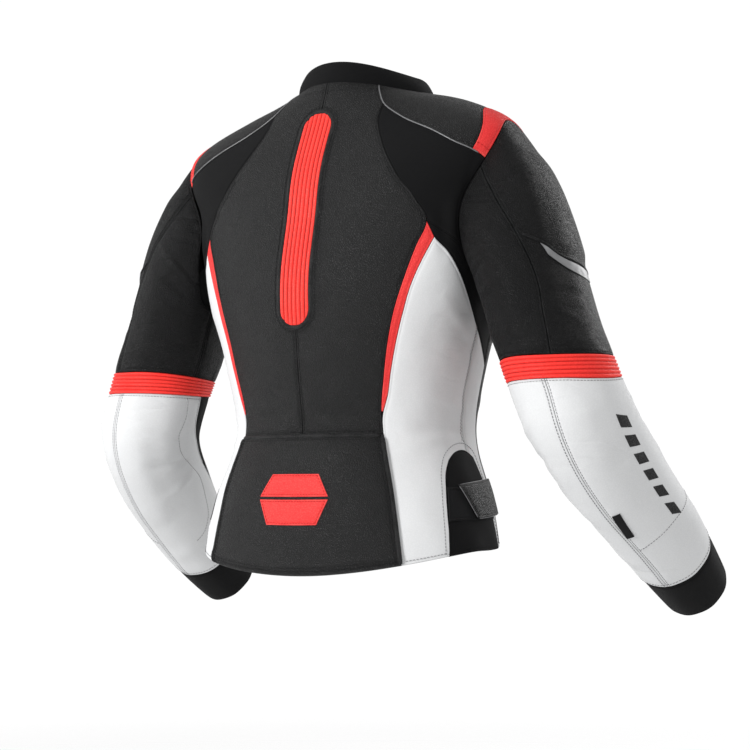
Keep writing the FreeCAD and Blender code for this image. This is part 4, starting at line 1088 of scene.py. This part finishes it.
def stripMesh(x, z, y, wall, wave=0.15):
    # Flat tape, faintly uneven, with front and back skins.
    xx, zz = np.meshgrid(x, z)
    bulge = wave * np.sin(zz * 0.21) * np.sin(xx * 0.4)
    cord = 0.35 * np.exp(-((np.abs(xx) - 1.9) / 0.9)**2)
    out = np.stack([xx, y - wall / 2 - bulge - cord, zz], -1)
    back = np.stack([xx, y + wall / 2 - bulge, zz], -1)
    faces = slabFaces(*xx.shape)
    if x[-1] < x[0]:
        faces = faces[:, ::-1]
    return np.concatenate([out.reshape(-1, 3), back.reshape(-1, 3)]), faces, bothSkins(xx, zz)


verts, faces, uvs = stripMesh(tapeX, tapeZ, rail["y"], 1.0)
fit("zipTape", (verts, faces), tapeCloth, "zip_tape", replaces=("front_zip_tapes",), uvs=uvs)
flap = {"half": 19.5, "behind": 5.0, "wall": 1.8, "wave": 0.3}
verts, faces, uvs = stripMesh(np.linspace(-flap["half"], flap["half"], 24),
                              np.linspace(rail["bottom"] - 4, rail["top"] - 4, 150),
                              rail["y"] + flap["behind"], flap["wall"], flap["wave"])
fit("stormFlap", (verts, faces), neoprene, "black_leather", replaces=("storm_flap",), uvs=uvs, twice=False)
pocket = {"theta": 139.0, "low": 0.20, "high": 0.40, "reach": 2.6}
pocketTape = Panel(trunk, rectangle(pocket["theta"] - pocket["reach"], pocket["low"],
                                    pocket["theta"] + pocket["reach"], pocket["high"]),
                   lift=1.5, wall=1.5, roll=0.4, puff=0.1, gap=0.0, step=(2.0, 3.0), folds=0.3)
sew("pocketTape", pocketTape, tapeCloth, "zip_tape", replaces=("pocket_zips",))
coilV = np.linspace(pocket["low"] + 0.004, pocket["high"] - 0.03, 300)
coilAt = np.stack([np.full(300, pocket["theta"]), coilV], -1)
coilP, coilN = onSurface(trunk, coilAt, 1.0)
coil = stitchMesh([(coilP + [0.9, 0, 0], coilN), (coilP - [0.9, 0, 0], coilN)], 2.0, 0.9)
fit("pocketTeeth", coil, darkMetal, "zip_metal")
print("front closed")

# Collar
collar = {"height": 24.0, "lean": 7.0, "wall": 3.5, "neckDepth": 83.0, "openAngle": 4.0}


def collarMesh():
    # A section of outer face, rounded rim and inner face, carried round the neck and closed at both ends.
    end = 180 - collar["openAngle"]
    theta = np.concatenate([np.linspace(-end, -end + 1.2, 4)[:-1], np.linspace(-end + 1.2, end - 1.2, 190),
                            np.linspace(end - 1.2, end, 4)[1:]])
    h = np.linspace(0, 1, 12)
    turn = np.linspace(0, np.pi, 10)[1:-1]
    half = collar["wall"] / 2
    section = np.concatenate([np.stack([h * 0.93, np.zeros(12)], -1),
                              np.stack([0.93 + 0.07 * np.sin(turn), -half * (1 - np.cos(turn))], -1),
                              np.stack([h[::-1] * 0.93, np.full(12, -collar["wall"])], -1)])
    base = trunk(theta, np.full(len(theta), 1.0))
    centre = np.stack([0 * theta, np.full(len(theta), -collar["neckDepth"]), base[:, 2]], -1)
    out = unit(base - centre)
    lift = collar["height"] * (0.92 + 0.08 * np.cos(np.radians(2 * theta)))
    hh = section[:, 0][None]
    slack = 0.7 * np.sin(np.radians(theta * 5))[:, None] * np.sin(np.pi * hh) + 0.8 * np.sin(np.pi * hh)
    shrink = np.ones(len(theta))
    shrink[[0, -1]] = 0.55
    shrink[[1, -2]] = 0.85
    offset = -half + (section[:, 1][None] + half) * shrink[:, None]
    radial = offset - collar["lean"] * hh**2 + slack
    p = base[:, None] + out[:, None] * radial[..., None]
    p[..., 2] += -2.5 + (lift[:, None] + 3.5) * hh
    rows, columns = p.shape[:2]
    faces = gridFaces(rows, columns, 0, True)
    caps = [capFaces(np.arange(columns), True), capFaces((rows - 1) * columns + np.arange(columns), False)]
    length = np.cumsum(np.concatenate([[0], np.linalg.norm(np.diff(base, axis=0), axis=1)]))
    uv = np.stack(np.broadcast_arrays(length[:, None], hh * 24 + (section[:, 1] < -1)[None] * 26.0), -1)
    faces = outwards(np.concatenate([faces] + caps), p, out[rows // 2], rows // 2, 4)
    return p.reshape(-1, 3), faces, uv.reshape(-1, 2)


verts, faces, uvs = collarMesh()
fit("collarBand", (verts, faces), neoprene, "neoprene", replaces=("collar",), twice=False, uvs=uvs, fill=0.5)
neckLine = np.stack([np.linspace(-170, 170, 900), np.full(900, 0.985)], -1)
topstitch("torsoBlackOnce", onSurface(trunk, neckLine, 0.4))

# Inside
linings = (
    # from theta, to theta, up to v, lift in mm: deeper under the thicker front
    (-58, 58, 0.992, -3.8), (59, 110, 0.63, -3.8), (-110, -59, 0.63, -3.8), (125, 168, 0.94, -5.4),
    (-168, -125, 0.94, -5.4), (111, 124, 0.63, -5.4), (-124, -111, 0.63, -5.4),
)
for index, (t0, t1, top, lift) in enumerate(linings):
    panel = Panel(trunk, rectangle(t0, 0.03, t1, top), lift=lift, wall=0.9, roll=0.3, puff=0.0, gap=0.0,
                  step=(6.0, 6.0), folds=0.9)
    sew("torsoLining" + str(index), panel, liningMesh, "mesh_lining", twice=False,
        replaces=("torso_lining",) if index == 0 else ())


def plates(a, b, edge):
    # Cross grooves and two long ones, each a narrow bell.
    return -1.3 * np.exp(-((b * 26) % 1 - 0.5)**2 / 0.006) - 0.8 * np.exp(-(np.abs(a) - 9)**2 / 1.2)


protector = Panel(trunk, coons(straight((-13, 0.37), (13, 0.37)), straight((-20, 0.90), (20, 0.90)),
                               through([(-13, 0.37), (-20, 0.50), (-27, 0.72), (-20, 0.90)]),
                               through([(13, 0.37), (20, 0.50), (27, 0.72), (20, 0.90)])),
                  lift=-6.9, wall=6.6, roll=2.0, puff=0.4, gap=0.0, step=(3.0, 2.4), shape=plates, folds=0.9)
sew("backProtector", protector, armourFoam, "armour", replaces=("back_protector",), twice=False, fill=1.0)
waistZip = Panel(trunk, rectangle(-36, 0.065, 36, 0.095), lift=-6.0, wall=1.4, roll=0.4, puff=0.1, gap=0.0,
                 step=(3.0, 2.0), folds=0.9)
sew("waistZip", waistZip, tapeCloth, "zip_tape", replaces=("waist_connection_zip",), twice=False)
loop = {"radius": 23.0, "y": -6.5, "z": -20.0}
turn = np.linspace(np.pi, 0, 120)
loopN = np.stack([np.cos(turn), np.zeros(120), np.sin(turn)], -1)
loopP = loopN * loop["radius"] + [0.0, loop["y"], loop["z"]]
fit("hangLoop", tubeMesh(loopP, loopN, 2.6, 12, 0.22, 1.5), tapeCloth, "zip_tape", replaces=("hang_loop",),
    twice=False)
print("collar and lining in")


# Sleeves
def startT(alpha):
    # The sleeve panels start at the armhole, and lower under the arm by the square of the sine.
    return 0.0008 + 0.308 * np.maximum(0, -np.sin(np.radians(alpha)))**2


def bandTop(alpha):
    # Upper edge of the elbow band: a sine round the arm.
    a = np.radians(alpha)
    return 0.525 + 0.040 * np.sin(a) + 0.005 * (1 - np.cos(a))


bandHeight = 0.050


def bandLow(alpha):
    # Its lower edge, one band's height further down the arm.
    return bandTop(alpha) + bandHeight


def ringEdge(height, a0, a1):
    # Curve round the arm between two angles at a height that depends on the angle.
    def at(r):
        a = a0 + (a1 - a0) * np.asarray(r, float)
        return np.stack([a, height(a) + 0 * a], -1)
    return at


def alphaAlong(seam):
    # A seam's angle at a given height down the arm.
    rows = np.array([(q[1], q[0]) for q in seam], float)
    return lambda t: smoothRows(rows, t)[..., 0]


def between(seam0, seam1, low, high):
    # Sleeve panel from the height low to the height high between two seams.
    def corner(seam, height):
        t = 0.5
        for _ in range(30):
            t = float(height(seam(t)))
        return float(seam(t)), t
    a0, t0 = corner(seam0, low)
    a1, t1 = corner(seam1, low)
    b0, s0 = corner(seam0, high)
    b1, s1 = corner(seam1, high)

    def side(seam, t, s):
        def at(k):
            h = t + (s - t) * np.asarray(k, float)
            return np.stack([seam(h) + 0 * h, h], -1)
        return at
    return coons(ringEdge(low, a0, a1), ringEdge(high, b0, b1), side(seam0, t0, s0), side(seam1, t1, s1))


rear, fore = alphaAlong(capRear), alphaAlong(capFront)
under0 = lambda t: np.asarray(underSeam + 0.0 * np.asarray(t))
under1 = lambda t: np.asarray(underSeam + 360.0 + 0.0 * np.asarray(t))
cap = Panel(sleeve, between(rear, fore, startT, bandTop))
sew("sleeveCap", cap, sleeveLeather, "black_leather", bend="shoulder", replaces=("sleeve_cap_{side}",))
sleeveBack = Panel(sleeve, between(under0, rear, startT, bandTop))
sew("sleeveBack", sleeveBack, sleeveLeather, "black_leather", bend="shoulder",
    replaces=("sleeve_back_{side}",))
sleeveFront = Panel(sleeve, between(fore, under1, startT, bandTop))
sew("sleeveFront", sleeveFront, sleeveLeather, "black_leather", bend="shoulder",
    replaces=("sleeve_front_{side}",))
topstitch("upperBlack", cap.line(2, 2.4), cap.line(2, 5.2), cap.line(3, 2.4),
          sleeveBack.line(1, 3.0, (0.05, 1)), cap.line(1, 3.0), sleeveFront.line(1, 3.0))
pit = {"from": 215.0, "to": 325.0, "start": 0.002}
pitEnds = [straight((a, pit["start"]), (a, float(startT(a)))) for a in (pit["from"], pit["to"])]
hollow = Panel(sleeve, coons(ringEdge(lambda a: pit["start"], pit["from"], pit["to"]),
                             ringEdge(startT, pit["from"], pit["to"]), *pitEnds),
               lift=-0.6, wall=1.4, roll=0.4, puff=0.1)
sew("underarmGusset", hollow, stretchCloth, "stretch_fabric", bend="shoulder",
    replaces=("underarm_gusset_{side}",))
seamAt = through([(35, 0.231), (49, 0.261), (67, 0.301), (99, 0.322), (130, 0.329)])(np.linspace(0, 1, 300))
fit("capSeam", tubeMesh(*onSurface(sleeve, seamAt, 0.9), 1.8, 8, 0.6, 2.5), sleeveLeather, "black_leather",
    bend="shoulder")
strapLow = [(54, 0.300), (72, 0.340), (117, 0.359)]
strapHigh = [(49, 0.267), (67, 0.307), (113, 0.331)]
strap = Panel(sleeve, coons(through(strapLow), through(strapHigh), straight(strapLow[0], strapHigh[0]),
                            straight(strapLow[-1], strapHigh[-1])),
              lift=1.6, wall=0.7, roll=0.3, puff=0.1, gap=0.0, step=(3.0, 2.0), furrow=0.0)
sew("reflectiveStrip", strap, greyFilm, "reflective", bend="shoulder", replaces=("reflective_strip_{side}",))


def accordion(a, b, edge):
    # Six ribs round the arm, each a power of a half sine, with a faint gather.
    phase = (b - bandTop(a)) / bandHeight * 6
    gather = 0.10 * np.sin(a * 0.9 + np.floor(phase) * 2.3)
    return 2.1 * np.abs(np.sin(np.pi * phase))**0.7 + gather - 0.9


bandEnds = [straight((a, float(bandTop(a))), (a, float(bandLow(a)))) for a in (-90.0, 270.0)]
elbowBand = Panel(sleeve, coons(ringEdge(bandTop, -90, 270), ringEdge(bandLow, -90, 270), *bandEnds),
                  lift=-0.1, wall=2.4, roll=0.5, puff=0.3, step=(3.0, 0.5), shape=accordion, folds=0.2,
                  close=ribMarks, furrow=0.0)
# The seam attribute follows the ribs' height, so the rib finish paints shade into the grooves between the
# ribs.
elbowBand.seam = np.clip(elbowBand.rise * 2.2, 0, 9)
sew("elbowRibs", elbowBand, redRibsGrooveShade, "red_stretch", bend="elbow", replaces=("elbow_stretch_band_{side}",))

seamOut = alphaAlong(forearmSeam)
cuffSeam = 229.5
foreAlpha, rearAlpha = crookFront[0][0], crookRear[0][0]
topEdge = chain((ringEdge(bandLow, float(seamOut(float(bandLow(9.0)))), foreAlpha), 0.50),
                (through(crookFront), 0.50))
corner = topEdge(0.0)


def outerSeam(s):
    # The forearm's outer seam from the cuff up.
    t = cuffT + (corner[1] - cuffT) * np.asarray(s, float)
    return np.stack([seamOut(t), t], -1)


seamLow = (float(seamOut(cuffT)), cuffT)
outerArm = Panel(sleeve, coons(straight(seamLow, (cuffSeam, cuffT)), topEdge, outerSeam,
                               straight((cuffSeam, cuffT), topEdge(1.0))))
sew("forearmOuter", outerArm, whiteLeather, "white_leather", bend="elbow", replaces=("forearm_outer_{side}",))
rearPoints = [(a - 360.0, t) for a, t in crookRear]
rearPoints[0] = (rearPoints[0][0], float(bandLow(rearPoints[0][0])))
innerEdge = chain((straight((cuffSeam - 360, cuffT), rearPoints[-1]), 0.30),
                  (through(rearPoints, len(rearPoints) - 1, 0), 0.70))
underArm = Panel(sleeve, coons(straight((cuffSeam - 360, cuffT), seamLow),
                               ringEdge(bandLow, rearPoints[0][0], float(corner[0])), innerEdge, outerSeam))
sew("forearmUnder", underArm, whiteLeather, "white_leather", bend="elbow", replaces=("forearm_under_{side}",))
crook = Panel(sleeve, coons(ringEdge(bandLow, foreAlpha, rearAlpha), straight(crookFront[-1], crookRear[-1]),
                            through([(foreAlpha, float(bandLow(foreAlpha)))] + crookFront[1:]),
                            through([(rearAlpha, float(bandLow(rearAlpha)))] + crookRear[1:])),
              lift=-0.5, wall=1.6, roll=0.5, puff=0.2)
sew("crookPanel", crook, stretchCloth, "stretch_fabric", bend="elbow", replaces=("crook_panel_{side}",))
pocketLine = through([(11, 0.863), (36, 0.858), (67, 0.855), (110, 0.862), (160, 0.87)])
pocketArc = pocketLine(np.linspace(0, 1, 300))
kneadAt = through(elbowInner)(np.linspace(0, 1, 500))
topstitch("lowerGrey", outerArm.line(1, 4.0, (0.0, 0.5)), outerArm.line(0, 4.5), outerArm.line(2, 2.6),
          underArm.line(3, 3.4), underArm.line(1, 4.0), underArm.line(0, 4.5), underArm.line(2, 3.0),
          onSurface(sleeve, pocketArc, 0.75), onSurface(sleeve, kneadAt, 0.75))
foldLine = onSurface(sleeve, kneadAt, 0.5)
fit("forearmDart", tubeMesh(*foldLine, 0.9, 8, 0.5, 2.5), whiteLeather, "white_leather", bend="elbow")
cuff = Panel(sleeve, rectangle(180, cuffT, 540, 1.0), lift=-0.2, wall=2.8, roll=1.3, puff=0.5)
sew("cuffBand", cuff, neoprene, "neoprene", body="forearm_{side}", replaces=("cuff_{side}",))

bars = {"alpha": 79.0, "half": 7.5, "start": 0.672, "pitch": 0.031, "length": 0.019, "slant": 0.012,
        "count": 6}
for index in range(bars["count"]):
    t = bars["start"] + bars["pitch"] * index
    a0, a1 = bars["alpha"] - bars["half"], bars["alpha"] + bars["half"] * (1 - 0.06 * index)
    patch = quad((a0, t), (a1, t + bars["slant"]), (a0, t + bars["length"]),
                 (a1, t + bars["length"] + bars["slant"]))
    bar = Panel(sleeve, patch, lift=1.15, wall=0.5, roll=0.2, puff=0.0, gap=0.0, step=(2.6, 2.6),
                furrow=0.0)
    sew("forearmBar" + str(index), bar, inkGrey, "black_leather", bend="elbow")
tag = Panel(sleeve, quad((9, 0.838), (19, 0.838), (13, 0.794), (23, 0.794)), lift=2.0, wall=1.0, roll=0.4,
            puff=0.2, gap=0.0, step=(2.0, 2.0), furrow=0.0)
sew("forearmTag", tag, tapeCloth, "zip_tape", bend="elbow", sides=("right",))
print("sleeves sewn")


def honeycomb(a, b, edge):
    # Crossed grooves, each a narrow bell.
    return -1.2 * np.exp(-((b * 34) % 1 - 0.5)**2 / 0.010) - 0.9 * np.exp(-((a / 13) % 1 - 0.5)**2 / 0.010)


pads = {
    "shoulderPad": {"patch": quad((55, 0.05), (128, 0.05), (65, 0.33), (118, 0.33)), "bend": "shoulder",
                    "node": "shoulder_armour_{side}"},
    "elbowPad": {"patch": quad((-32, 0.61), (48, 0.63), (-26, 0.80), (34, 0.80)), "bend": "elbow",
                 "node": "elbow_armour_{side}"},
}
for name, pad in pads.items():
    panel = Panel(sleeve, pad["patch"], lift=-3.4, wall=5.4, roll=2.0, puff=0.3, gap=0.0, step=(2.6, 2.6),
                  shape=honeycomb)
    sew(name, panel, armourFoam, "armour", bend=pad["bend"], replaces=(pad["node"],), fill=1.0)


def overPad(a, b, edge):
    # The lining dips under the pads between the shoulder and the forearm.
    return -7.2 * smoothStep(b, 0.02, 0.05) * (1 - smoothStep(b, 0.83, 0.90))


for name, t0, t1, bend in (("upperLining", 0.03, 0.55, "shoulder"), ("lowerLining", 0.55, 0.972, "elbow")):
    panel = Panel(sleeve, rectangle(-90, t0, 270, t1), lift=-3.4, wall=0.9, roll=0.2, puff=0.0, gap=0.0,
                  step=(7.0, 7.0), shape=overPad, folds=0.8)
    sew(name, panel, liningMesh, "mesh_lining", bend=bend)

# Threads and metal
groups = {
    "torsoBlack": (blackThread, "black_leather", True, None),
    "torsoBlackOnce": (blackThread, "black_leather", False, None),
    "torsoGrey": (greyThread, "white_leather", True, None),
    "torsoRed": (redThread, "red_leather", True, None),
    "torsoRedOnce": (redThread, "red_leather", False, None),
    "upperBlack": (blackThread, "black_leather", True, "shoulder"),
    "lowerGrey": (greyThread, "white_leather", True, "elbow"),
}
for group, (finish, slotName, twice, bend) in groups.items():
    fit("stitches." + group, stitchMesh(threads[group]), finish, slotName, twice=twice, bend=bend)
for name in ("front_slider", "front_pull", "pocket_slider_right", "pocket_slider_left"):
    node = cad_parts[name]
    node.data.materials.clear()
    node.data.materials.append(darkMetal)
print("stitched")

# Floor, light and camera
ground = {"z": -1.0, "half": 9.0, "fadeFrom": 0.8, "fadeTo": 3.0}
fade = Finish("paleFloor", roughness=0.9, specular=0.1)
floorAt = fade.node("ShaderNodeTexCoord", output="Object")
reach = fade.node("ShaderNodeVectorMath", {0: floorAt}, output="Value", operation="LENGTH")
cloud = fade.ramp(fade.noise(1.2, 3.0), 0.3, 0.7)
fade.set(base=fade.mix(cloud, colour(0.86, 0.86, 0.86), colour(0.90, 0.90, 0.90)),
         alpha=fade.ramp(reach, ground["fadeFrom"], ground["fadeTo"], 1.0, 0.0))
span = np.linspace(-ground["half"], ground["half"], 9) / mm
gx, gy = np.meshgrid(span, span)
floor = addObject("floor", np.stack([gx, gy, np.full(gx.shape, ground["z"] / mm)], -1).reshape(-1, 3),
                  gridFaces(9, 9))
floor.data.materials.append(fade.material)

world = bpy.data.worlds.new("paleStudio")
world.use_nodes = True
sky = world.node_tree
sky.nodes["Background"].inputs["Color"].default_value = (1, 1, 1, 1)
seen = Wire(sky, sky.nodes.new("ShaderNodeLightPath").outputs["Is Camera Ray"])
feed(sky, sky.nodes["Background"].inputs["Strength"], 0.56 + seen * 0.46)
bpy.context.scene.world = world
lights = {
    "key": {"at": (0.75, 2.3, 0.45), "size": 1.0, "power": 78},
    "left": {"at": (2.4, 0.6, 0.3), "size": 1.4, "power": 15},
    "right": {"at": (-2.3, 0.5, 0.3), "size": 1.6, "power": 14},
    "front": {"at": (-0.9, -2.4, 0.8), "size": 1.8, "power": 40},
    "top": {"at": (0.0, 0.2, 2.0), "size": 1.6, "power": 5},
}
aim = np.array([0.0, -0.06, -0.30])
for name, light in lights.items():
    data = bpy.data.lights.new(name, "AREA")
    data.size = light["size"]
    data.energy = light["power"]
    lamp = bpy.data.objects.new(name, data)
    towards = aim - np.array(light["at"])
    towards = towards / np.linalg.norm(towards)
    lamp.location = light["at"]
    lamp.rotation_euler = (np.arccos(-towards[2]), 0.0, np.arctan2(towards[1], towards[0]) - np.pi / 2)
    bpy.context.scene.collection.objects.link(lamp)

lens = {"at": (-1.42015, 2.00765, -0.480), "turn": 34.0, "pitch": 3.3, "mm": 103.2}
cameraData = bpy.data.cameras.new("camera")
cameraData.lens = lens["mm"]
cameraData.clip_end = 60
camera = bpy.data.objects.new("camera", cameraData)
camera.location = lens["at"]
camera.rotation_euler = (np.radians(90 + lens["pitch"]), 0.0, np.radians(180 + lens["turn"]))
bpy.context.scene.collection.objects.link(camera)
bpy.context.scene.camera = camera
bpy.context.scene.view_settings.view_transform = "Standard"

print("scene ready")
